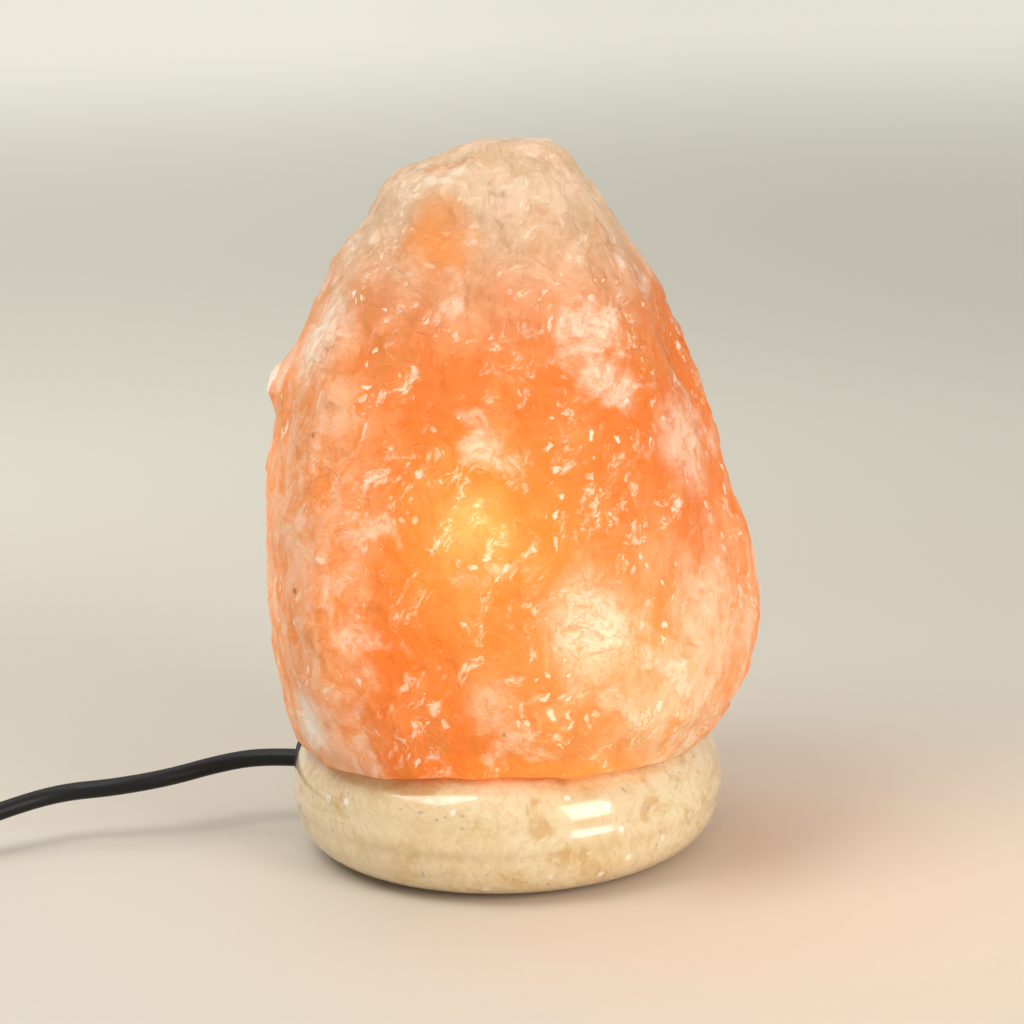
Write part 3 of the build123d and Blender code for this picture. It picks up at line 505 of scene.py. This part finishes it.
tree.links.new(between(tree, cloudy, 0.3, 0.7, 0.16, 0.28), shader.inputs["Roughness"])
worn = put(tree, "Bump", {"Height": noise_at(tree, where, 120.0, 3.0), "Strength": 0.08, "Distance": 0.0006})
tree.links.new(worn.outputs["Normal"], shader.inputs["Normal"])
shader.inputs["Specular IOR Level"].default_value = 0.6
shader.inputs["Coat Weight"].default_value = 0.7
shader.inputs["Coat Roughness"].default_value = 0.05
wear(stone_foot, marble)

# ---- salt crystal ----------------------------------------------------------------
# One piece of mined rock salt, hewn by chisel to a leaning cone and bored from below
# for the bulb. It rests on the foot by its weight and glows where the salt is thin.
rock_foot, rock_height, rock_left, rock_right, rock_depth_share = 34.0, 161.0, 64.3, 71.4, 0.92
# Share of the rock's height, of its left reach and of its right reach.
rock_profile = [
    (0.000, 0.910, 0.818), (0.037, 0.938, 0.882), (0.087, 0.957, 0.948), (0.149, 0.987, 0.986),
    (0.211, 0.997, 1.000), (0.273, 1.000, 0.982), (0.335, 0.995, 0.955), (0.398, 0.993, 0.910),
    (0.453, 0.982, 0.874), (0.509, 0.949, 0.845), (0.559, 0.922, 0.815), (0.599, 0.903, 0.784),
    (0.621, 0.890, 0.757), (0.658, 0.860, 0.730), (0.702, 0.802, 0.686), (0.752, 0.740, 0.648),
    (0.795, 0.680, 0.588), (0.839, 0.611, 0.511), (0.882, 0.513, 0.455), (0.919, 0.465, 0.401),
    (0.950, 0.389, 0.350), (0.975, 0.233, 0.308), (1.000, 0.070, 0.240)]
# Ridges: azimuth, share of radius, spread. Knobs: azimuth, share of height, share of
# radius, two spreads. Flats: azimuth, upward lean, depth.
rock_lobes = [(236.0, 0.055, 15.0), (298.0, 0.050, 15.0), (266.0, -0.020, 14.0), (35.0, 0.035, 14.0),
              (104.0, 0.045, 18.0), (150.0, 0.030, 12.0), (70.0, -0.025, 13.0)]
rock_knobs = [
    (181.0, 0.605, 0.085, 9.0, 0.020), (343.0, 0.705, -0.100, 7.5, 0.095),
    (321.0, 0.720, 0.045, 9.0, 0.110), (199.0, 0.740, -0.050, 8.0, 0.090),
    (216.0, 0.700, 0.030, 10.0, 0.120), (246.0, 0.480, -0.025, 9.0, 0.160),
    (285.0, 0.130, 0.025, 12.0, 0.080), (312.0, 0.250, -0.030, 8.0, 0.120),
    (20.0, 0.450, -0.030, 16.0, 0.090), (95.0, 0.560, 0.040, 18.0, 0.070),
    (125.0, 0.300, -0.030, 16.0, 0.080), (60.0, 0.780, 0.035, 14.0, 0.070)]
hewn_flats = [(252.0, 24.0, 2.6), (281.0, 9.0, 2.2), (321.0, 31.0, 3.0), (215.0, 15.0, 2.2), (88.0, 20.0, 3.0),
              (128.0, 33.0, 2.6), (55.0, 12.0, 2.4), (150.0, -6.0, 2.0)]
ring_points, section_power = 45, 2.3
hewn_roughness, hewn_height_drift, hewn_turn_drift = 1.5, 1.1, 0.24
rock_columns, rock_rows, cap_rows = 360, 221, 12


def bell(azimuth, centre, spread):
    """Bell curve of the angle from a centre, all in degrees."""
    turned = np.abs(azimuth - centre) % 360
    return np.exp(-0.5 * (np.minimum(turned, 360 - turned) / spread) ** 2)


def scatter(ring, place, kind):
    """Even scatter from -1 to 1: the fraction of a large multiple of a sine of the place."""
    number = np.sin(12.9898 * ring + 78.233 * (place % ring_points) + 37.719 * kind) * 43758.5453
    return 2 * (number - np.floor(number)) - 1


def rock_corners():
    """Corners of the rock's facets, ring by ring, in mm.

    A ring's radius is that of a superellipse through its left and right reach, less deep,
    times one plus a bell curve for each ridge and knob, less a scatter. Each flat is a
    leaning plane that cuts the radii back.
    """
    rise, left, right = (np.array(rock_profile)[:, i:i + 1] for i in range(3))
    ring, place = np.meshgrid(np.arange(len(rock_profile)), np.arange(ring_points), indexing="ij")
    azimuth = (place + 0.5 * (ring % 2) + hewn_turn_drift * scatter(ring, place, 1)) * 360 / ring_points
    inner = (ring > 0) & (ring < len(rock_profile) - 1)
    height = rise * rock_height + hewn_height_drift * scatter(ring, place, 2) * inner
    cos, sin = np.cos(np.radians(azimuth)), np.sin(np.radians(azimuth))
    left, right = left * rock_left, right * rock_right
    across = cos / np.where(cos >= 0, right, left)
    along = sin / (rock_depth_share * (left + right) / 2)
    radius = (np.abs(across) ** section_power + np.abs(along) ** section_power) ** (-1 / section_power)
    swell = 1 + sum(share * bell(azimuth, centre, spread) for centre, share, spread in rock_lobes)
    for centre, level, share, spread, tall in rock_knobs:
        swell = swell + share * bell(azimuth, centre, spread) * np.exp(-0.5 * ((rise - level) / tall) ** 2)
    radius = radius * swell - (0.3 + 0.7 * np.abs(sin)) * hewn_roughness * (1 + scatter(ring, place, 3)) / 2
    for centre, lean, depth in hewn_flats:
        facing = math.cos(math.radians(lean)) * np.cos(np.radians(azimuth - centre))
        rising = math.sin(math.radians(lean)) * height
        reach = (facing * radius + rising).max() - depth
        cut = (reach - rising) / np.where(facing > 0, facing, 1)
        radius = np.where(facing * radius + rising > reach, cut, radius)
    return np.stack([radius * cos, radius * sin, height], axis=-1)


def faceted(corners, columns, rows):
    """Fine grid on the triangles between neighbouring rings, every other one half a step on.

    A grid point's place between two rings and along them gives its triangle; its weights
    on the three corners there are the shares left over from that place.
    """
    up = np.linspace(0, len(corners) - 1, rows)
    lower = np.minimum(up.astype(int), len(corners) - 2)[:, None]
    part = up[:, None] - lower
    odd = lower % 2
    along = np.arange(columns)[None, :] * ring_points / columns - 0.5 * odd - 0.5 * part
    first = np.floor(along).astype(int)
    share = along - first

    def corner(ring, place):
        return corners[ring + 0 * place, place % ring_points]

    near = (share + part <= 1)[..., None]
    share, part = share[..., None], part[..., None]
    low = corner(lower, first)
    low_after = corner(lower, first + 1)
    top = corner(lower + 1, first + odd)
    top_after = corner(lower + 1, first + 1 + odd)
    one = (1 - share - part) * low + share * low_after + part * top
    two = (1 - share) * top + (share + part - 1) * top_after + (1 - part) * low_after
    return np.where(near, one, two)


def outward_normals(grid):
    """Unit normals of a grid of points closed round each row, from neighbours' differences."""
    normals = np.cross(np.roll(grid, -1, axis=1) - np.roll(grid, 1, axis=1), np.gradient(grid, axis=0))
    return normals / np.maximum(np.linalg.norm(normals, axis=-1, keepdims=True), 1e-12)


rock_side = faceted(rock_corners(), rock_columns, rock_rows)
cap_least = 0.02
shrink = np.linspace(1, cap_least, cap_rows + 1)[1:, None, None]
cap_middle = rock_side[-1].mean(axis=0)
rock_grid = np.concatenate([rock_side, cap_middle + (rock_side[-1][None] - cap_middle) * shrink]) / 1000
blurred = rock_grid.copy()
for step in range(3):
    level = (np.roll(blurred, 1, axis=1) + blurred + np.roll(blurred, -1, axis=1)) / 3
    blurred[1:-1] = (level[:-2] + level[1:-1] + level[2:]) / 3
rock_grid = blurred
flat_points = rock_grid.reshape(-1, 3)
# Chips and fine grain of the broken surface, longer upright than across.
chip_count, upright_squeeze = 1500, np.array([1.0, 1.0, 0.6])
random = np.random.default_rng(11)
chip_seeds = flat_points[random.integers(0, len(flat_points), chip_count)] * upright_squeeze
stretched = flat_points * upright_squeeze
wander = np.stack([noise(flat_points, 0.009, seed) for seed in (1, 2, 3)], axis=-1) * 0.002
relief = facets(stretched + wander, chip_seeds, 0.11, 0.00012, 22)
relief += 0.00020 * noise(stretched, 0.006, 5) + 0.00020 * noise(stretched, 0.003, 6)
relief += 0.00014 * noise(flat_points, 0.0015, 7)
relief = np.clip(relief.reshape(rock_grid.shape[:2]) - 0.0001, -0.0008, 0.0005)
# The relief is held back along the rock's foot and on its cap.
side_hold = np.clip(np.linspace(0, 14, rock_rows), 0.25, 1)
hold = np.concatenate([side_hold, np.linspace(1, 0.6, cap_rows)])[:, None]
rock_grid = rock_grid + outward_normals(rock_grid) * (relief * hold)[..., None]
rock_grid[:, :, 2] += rock_foot / 1000
ragged = np.clip(0.0006 + 0.0007 * noise(rock_grid[0], 0.009, 9), 0, None)
rock_grid[:, :, 2] += ragged[None, :] * np.exp(-np.arange(len(rock_grid)) / 3.0)[:, None]
rock_lowest, rock_highest = (rock_foot + 0.05) / 1000, (rock_foot + rock_height) / 1000
rock_grid[:, :, 2] = np.clip(rock_grid[:, :, 2], rock_lowest, rock_highest)
rock_grid[:, :, 0] = np.minimum(rock_grid[:, :, 0], cad_box[1][0])
# Radius and level in mm down the bulb's chamber, from its drilled point to its mouth.
rock_bore = [(0.1, 125.0), (8.33, 125.0), (25.0, 116.0), (25.0, 90.0), (25.0, 60.0), (25.0, 36.0),
             (27.0, 34.05)]
bore_rings = revolved(rock_bore, rock_columns) / 1000
sill = np.linspace(0, 1, 8)[1:-1, None, None]
sill_rings = bore_rings[-1] + sill * (rock_grid[0] - bore_rings[-1])
salt_rock = skin("salt_rock", np.concatenate([bore_rings, sill_rings, rock_grid]))
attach(salt_rock, "crystal")
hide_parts("salt_crystal")

# Milky bands and fluffy streaks lie in clear orange salt; clusters of pale specks are painted in as glints.
salt, tree, shader, where = material("rock_salt")


def leaning(vector, lean, length):
    """Vector for streaks that lean to the right by an angle and are longer by a factor."""
    node = put(tree, "Mapping", {"Vector": vector, "Rotation": (0.0, lean, 0.0), "Scale": (1.0, 1.0, length)},
               vector_type="TEXTURE")
    return node.outputs["Vector"]


def warped(vector, scale, reach):
    """Vector shifted by up to about half the reach, by noise of that scale."""
    cloud = put(tree, "TexNoise", {"Vector": vector, "Scale": scale, "Detail": 3.0})
    shift = put(tree, "VectorMath", {0: cloud.outputs["Color"], 1: (0.5, 0.5, 0.5)}, operation="SUBTRACT")
    shift = put(tree, "VectorMath", {0: shift.outputs["Vector"], "Scale": reach}, operation="SCALE")
    return put(tree, "VectorMath", {0: vector, 1: shift.outputs["Vector"]}, operation="ADD").outputs["Vector"]


def around(centre, inner, outer, tall=1.0):
    """One near a place and nought beyond the outer distance, stretched upright."""
    squeezed = (centre[0], centre[1], centre[2] / tall)
    away = distance_to(tree, leaning(moved, 0.0, tall), squeezed)
    return between(tree, away, inner, outer, 1.0, 0.0)


def lit(light, share, colour):
    """Light with a share of a colour added."""
    return blend(tree, 1.0, light, blend(tree, share, no_light, colour), "ADD")


moved = warped(where, 60.0, 0.014)
apart = put(tree, "SeparateXYZ", {"Vector": moved})
# Painted light: the left flank of the rock is painted lighter, where the light falls on it.
painted_lit_flank = between(tree, apart.outputs["X"], -0.028, -0.044)
crown = between(tree, apart.outputs["Z"], 0.140, 0.186)
chipped = warped(moved, 420.0, 0.0035)
patch = noise_at(tree, moved, 36.0, 5.0, 0.6)
streak = noise_at(tree, leaning(warped(moved, 160.0, 0.004), 0.6, 2.6), 210.0, 8.0, 0.72)
fluff = noise_at(tree, leaning(chipped, 0.4, 1.5), 420.0, 7.0, 0.74)
haze = noise_at(tree, leaning(moved, 0.2, 1.8), 95.0, 6.0, 0.68)
cells = put(tree, "TexVoronoi", {"Vector": leaning(chipped, 0.3, 1.5), "Scale": 420.0})
chosen = put(tree, "SeparateColor", {"Color": cells.outputs["Color"]}).outputs["Red"]
# Painted glints: small pale specks, in clusters round the given places and where noise allows, stand in for
# sparkle highlights.
glint_clusters = between(tree, noise_at(tree, where, 52.0, 3.0), 0.47, 0.60)
for centre in ((0.034, -0.042, 0.142), (0.040, -0.046, 0.104), (0.040, -0.048, 0.057),
               (-0.020, -0.054, 0.052)):
    glint_clusters = largest(tree, glint_clusters, around(centre, 0.003, 0.014))
reach = between(tree, chosen, 0.45, 1.0, 0.0, 0.42)
past_reach = maths(tree, "SUBTRACT", cells.outputs["Distance"], reach)
painted_glints = times(tree, between(tree, past_reach, 0.05, -0.10), glint_clusters)
milky = times(tree, between(tree, patch, 0.54, 0.68), between(tree, fluff, 0.36, 0.56, 0.40, 1.0))
wisps = times(tree, between(tree, streak, 0.53, 0.60), between(tree, fluff, 0.42, 0.56),
              between(tree, haze, 0.40, 0.58))
# The pale share holds milky salt and painted glints; painted light on the flank and low right joins it below.
milky_salt_and_painted_light = largest(tree, times(tree, milky, 0.72), times(tree, wisps, 0.80), times(tree, painted_glints, 0.85))
# Milky lumps seen in the photograph: place, solid and outer distance, stretch, share.
for centre, inner, outer, tall, share in (((0.022, -0.056, 0.074), 0.004, 0.015, 1.6, 0.85),
                                          ((-0.050, -0.034, 0.046), 0.005, 0.014, 1.0, 1.00),
                                          ((-0.061, 0.001, 0.131), 0.004, 0.009, 1.0, 1.00),
                                          ((0.050, -0.036, 0.118), 0.003, 0.013, 1.6, 0.60),
                                          ((-0.046, -0.024, 0.148), 0.004, 0.020, 1.0, 0.95),
                                          ((-0.002, -0.058, 0.056), 0.001, 0.011, 1.0, 0.55),
                                          ((-0.038, -0.040, 0.090), 0.002, 0.014, 1.0, 0.50),
                                          ((0.052, -0.034, 0.046), 0.002, 0.014, 0.8, 0.65),
                                          ((0.052, -0.034, 0.090), 0.001, 0.009, 1.6, 0.75),
                                          ((0.056, 0.030, 0.070), 0.004, 0.020, 1.4, 0.70),
                                          ((-0.014, 0.058, 0.060), 0.004, 0.022, 1.3, 0.80)):
    lump = times(tree, around(centre, inner, outer, tall), between(tree, fluff, 0.36, 0.58, 0.28, 1.0))
    milky_salt_and_painted_light = largest(tree, milky_salt_and_painted_light, times(tree, lump, share))
# Painted light: pale haze painted on the lit left flank, together with haze in the crown.
crown_haze_and_painted_flank_light = times(tree, between(tree, haze, 0.40, 0.64), largest(tree, painted_lit_flank, crown), 0.42)
# Painted light: the low right of the rock is painted paler, where the window light falls.
painted_lit_low_right = around((0.052, -0.040, 0.062), 0.012, 0.046)
milky_salt_and_painted_light = largest(tree, milky_salt_and_painted_light, crown_haze_and_painted_flank_light, times(tree, between(tree, haze, 0.34, 0.60), painted_lit_low_right, 0.48))

# Clear salt is deep orange and tan in the crown, with painted light making it lighter on the left flank
# and low at the right; milky salt, white patches, cracks and specks of dirt lie over it.
orange, painted_lit_flank_orange, crown_tan = (0.63, 0.155, 0.020), (0.76, 0.27, 0.068), (0.60, 0.41, 0.245)
clear = blend(tree, painted_lit_flank, orange, painted_lit_flank_orange)
clear = blend(tree, crown, clear, crown_tan)
# Painted light: lighter orange low at the right.
clear = blend(tree, times(tree, painted_lit_low_right, 0.6), clear, (0.70, 0.27, 0.07))
clear = blend(tree, times(tree, between(tree, haze, 0.44, 0.66), 0.4), clear, (0.76, 0.33, 0.12))
tan = between(tree, noise_at(tree, leaning(moved, 0.0, 1.7), 85.0, 5.0, 0.6), 0.52, 0.70)
clear = blend(tree, times(tree, tan, 0.55), clear, (0.58, 0.20, 0.035))
vein = largest(tree, around((-0.014, -0.030, 0.172), 0.001, 0.013, 2.2),
               around((0.047, -0.016, 0.149), 0.002, 0.008, 1.8))
clear = blend(tree, times(tree, vein, 0.9), clear, (0.64, 0.22, 0.035))
milk, white_salt = (0.90, 0.75, 0.60), (0.94, 0.86, 0.75)
body = blend(tree, times(tree, milky_salt_and_painted_light, between(tree, vein, 0.0, 1.0, 1.0, 0.2)), clear, milk)
whitest = largest(tree, around((-0.048, -0.036, 0.048), 0.003, 0.013),
                  around((-0.062, 0.001, 0.131), 0.002, 0.009))
body = blend(tree, times(tree, whitest, 0.8), body, white_salt)
fissure = put(tree, "TexVoronoi", {"Vector": warped(where, 90.0, 0.012), "Scale": 34.0},
              feature="DISTANCE_TO_EDGE")
crack = times(tree, between(tree, fissure.outputs["Distance"], 0.014, 0.002),
              between(tree, patch, 0.38, 0.46, 1.0, 0.0))
crack_brown, dirt_brown = (0.45, 0.18, 0.06), (0.20, 0.12, 0.08)
body = blend(tree, times(tree, crack, 0.3), body, crack_brown)
inclusion = times(tree, between(tree, cells_at(tree, where, 95.0), 0.10, 0.05),
                  between(tree, noise_at(tree, where, 31.0, 1.0), 0.60, 0.66))
body = blend(tree, times(tree, inclusion, 0.8), body, dirt_brown)
tree.links.new(body, shader.inputs["Base Color"])
tree.links.new(between(tree, fluff, 0.35, 0.65, 0.30, 0.60), shader.inputs["Roughness"])

# Light of the bulb coming through: a hot place before the bulb on each face, a wide
# halo round it, less through milky salt and next to nothing in the crown.
halo = around((0.004, -0.058, 0.088), 0.014, 0.080, 1.35)
for centre in ((0.010, 0.058, 0.090), (-0.062, 0.010, 0.080), (0.066, -0.004, 0.080)):
    halo = largest(tree, halo, times(tree, around(centre, 0.010, 0.070, 1.35), 0.9))
heart = around((-0.004, -0.060, 0.103), 0.001, 0.013)
warmth = around((-0.004, -0.060, 0.102), 0.004, 0.036)
seam = times(tree, between(tree, apart.outputs["Z"], 0.043, 0.036),
             around((0.012, -0.050, 0.036), 0.015, 0.045))
glow = maths(tree, "ADD", maths(tree, "ADD", times(tree, halo, 0.44), 0.05), times(tree, seam, 0.35))
for part, share_left in ((milky_salt_and_painted_light, 0.70), (painted_lit_flank, 1.12), (crown, 0.6), (tan, 0.85)):
    glow = times(tree, glow, between(tree, part, 0.0, 1.0, 1.0, share_left))
glow = times(tree, maths(tree, "ADD", glow, times(tree, vein, 0.10)), between(tree, whitest, 0.0, 1.0, 1.0, 0.35))
ember = blend(tree, milky_salt_and_painted_light, (0.95, 0.16, 0.003), (0.90, 0.34, 0.10))
edge_on = between(tree, put(tree, "LayerWeight", {"Blend": 0.35}).outputs["Facing"], 0.35, 0.95)
ember = blend(tree, times(tree, edge_on, 0.8), ember, (0.50, 0.25, 0.10))
light = blend(tree, glow, no_light, ember)
light = lit(light, times(tree, warmth, 0.10), (0.9, 0.9, 0.12))
light = lit(light, times(tree, heart, 0.26, between(tree, fluff, 0.3, 0.6, 0.5, 1.0)), (0.6, 0.95, 0.36))
amber = around((0.028, -0.052, 0.056), 0.012, 0.052)
light = lit(light, times(tree, amber, 0.11), (0.05, 0.9, 0.34))
tree.links.new(light, shader.inputs["Emission Color"])
shader.inputs["Emission Strength"].default_value = 1.0
shader.inputs["Specular IOR Level"].default_value = 0.4
shader.inputs["Subsurface Weight"].default_value = 0.12
shader.inputs["Subsurface Radius"].default_value = (0.004, 0.0015, 0.0008)
shader.inputs["Subsurface Scale"].default_value = 1.0
height = maths(tree, "ADD", times(tree, fluff, 0.55), times(tree, cells.outputs["Distance"], 0.45))
height = maths(tree, "ADD", height, times(tree, streak, 0.7))
height = maths(tree, "SUBTRACT", height, times(tree, crack, 0.25))
hewn = put(tree, "Bump", {"Height": height, "Strength": 0.8, "Distance": 0.0012})
tree.links.new(hewn.outputs["Normal"], shader.inputs["Normal"])
wear(salt_rock, salt)

# ---- felt, grommet and lampholder ------------------------------------------------
# Pressed felt under the foot; a rubber grommet in its side; a moulded lampholder with
# a brass shell, held in the foot's bore by a sprung steel clip.
wear(nodes["felt_ring"], surfaced("pressed_felt", (0.13, 0.115, 0.10), (0.07, 0.062, 0.055), 0.9, 0.98,
                                  grain=2600.0, depth=0.9))
rubber = surfaced("moulded_rubber", (0.028, 0.028, 0.028), (0.016, 0.016, 0.016), 0.5, 0.62)
for name in ("cord_grommet", "switch_boot_in", "switch_boot_out", "plug_boot"):
    wear(nodes[name], rubber)
resin = surfaced("moulded_resin", (0.84, 0.82, 0.75), (0.76, 0.73, 0.65), 0.3, 0.42, depth=0.1)
for name in ("holder_body", "holder_lower_cap", "holder_cord_grip", "holder_contact_block"):
    wear(nodes[name], resin)
brass = surfaced("drawn_brass", (0.82, 0.62, 0.30), (0.62, 0.43, 0.18), 0.22, 0.36, depth=0.08, metallic=1.0)
for name in ("holder_shell", "holder_centre_contact", "holder_terminal_live", "holder_terminal_neutral",
             "plug_pin_a", "plug_pin_b", "switch_contact_in", "switch_contact_out", "switch_bridge"):
    wear(nodes[name], brass)
steel = surfaced("bright_steel", (0.66, 0.66, 0.64), (0.5, 0.5, 0.49), 0.2, 0.34, depth=0.08, metallic=1.0)
for name in ("holder_spring_clip", "holder_screw_live", "holder_screw_neutral", "switch_screw_in",
             "switch_screw_out"):
    wear(nodes[name], steel)
wear(nodes["core_live"], surfaced("brown_core", (0.26, 0.11, 0.045), (0.19, 0.075, 0.03), 0.4, 0.5))
blue = surfaced("blue_core", (0.05, 0.18, 0.50), (0.035, 0.13, 0.38), 0.4, 0.5)
for name in ("core_neutral", "switch_neutral_link"):
    wear(nodes[name], blue)
wear(nodes["cord_inside"], surfaced("inner_sheath", (0.022, 0.022, 0.023), (0.012, 0.012, 0.013), 0.42, 0.55))

# ---- bulb ------------------------------------------------------------------------
# Small clear candle bulb with a nickel screw cap, black glass insulator and a solder
# tip; a glass stem holds the wire of the filament.
wear(nodes["bulb_tip"], surfaced("solder_tip", (0.58, 0.58, 0.55), (0.42, 0.42, 0.40), 0.4, 0.55, metallic=1.0))
wear(nodes["bulb_insulator"], surfaced("black_glass", (0.02, 0.02, 0.03), (0.01, 0.01, 0.016), 0.12, 0.2,
                                       depth=0.05))

# Screw cap of thin nickelled sheet, rolled with the standard thread of small bulbs.
cap_low, cap_shoulder, cap_high = 0.0458, 0.0474, 0.0688
cap_radius, cap_wall, cap_neck = 0.0069, 0.00055, 0.0046
thread_pitch, thread_depth, thread_low, thread_high, thread_fade = 0.002822, 0.0004, 0.0482, 0.0622, 0.0012
cap_columns, cap_rings_up = 96, 110
rise = np.linspace(cap_shoulder, cap_high, cap_rings_up)
sheet = np.concatenate([[[cap_neck - cap_wall, cap_low], [cap_neck, cap_low]],
                        np.stack([np.full_like(rise, cap_radius), rise], axis=-1),
                        [[cap_radius - cap_wall, cap_high], [cap_radius - cap_wall, cap_shoulder + cap_wall],
                         [cap_neck - cap_wall, cap_low + cap_wall]]])
cap_rings = revolved(sheet, cap_columns)
level = cap_rings[..., 2]
spun = np.linspace(0, 2 * np.pi, cap_columns, endpoint=False)
faded = np.clip((level - thread_low) / thread_fade, 0, 1)
faded = faded * np.clip((thread_high - level) / thread_fade, 0, 1)
groove = faded * (0.5 - 0.5 * np.cos(2 * np.pi * level / thread_pitch - spun))
groove[len(rise) + 2:] = 0.0
cap_rings[..., :2] *= (1 - thread_depth * groove / cap_radius)[..., None]
screw_cap = skin("screw_cap", cap_rings, looped=True)
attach(screw_cap, "bulb")
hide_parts("bulb_cap")
wear(screw_cap, surfaced("nickel_cap", (0.78, 0.75, 0.68), (0.6, 0.57, 0.5), 0.2, 0.32, depth=0.06,
                         metallic=1.0))
wear(nodes["bulb_filament"], surfaced("drawn_tungsten", (0.5, 0.45, 0.4), (0.36, 0.32, 0.28), 0.3, 0.45,
                                      metallic=1.0))
clear, tree, shader, where = material("clear_glass")
breath = noise_at(tree, where, 40.0, 3.0)
tree.links.new(blend(tree, breath, (0.97, 0.97, 0.95), (0.99, 0.99, 0.985)), shader.inputs["Base Color"])
tree.links.new(between(tree, breath, 0.3, 0.7, 0.01, 0.05), shader.inputs["Roughness"])
shader.inputs["Transmission Weight"].default_value = 1.0
shader.inputs["IOR"].default_value = 1.47
for name in ("bulb_glass", "bulb_stem"):
    wear(nodes[name], clear)

# ---- inline switch and plug ------------------------------------------------------
# Two screwed black shells with a rocker between them, and a moulded two-pin plug with
# part-sleeved pins; the mouldings are finely spark textured.
satin = surfaced("spark_textured", (0.026, 0.026, 0.027), (0.016, 0.016, 0.017), 0.48, 0.6, grain=3200.0,
                 depth=0.5)
for name in ("switch_lower_shell", "switch_upper_shell", "plug_body"):
    wear(nodes[name], satin)
wear(nodes["switch_rocker"], surfaced("smooth_rocker", (0.032, 0.032, 0.034), (0.022, 0.022, 0.024), 0.2, 0.32,
                                      depth=0.08))
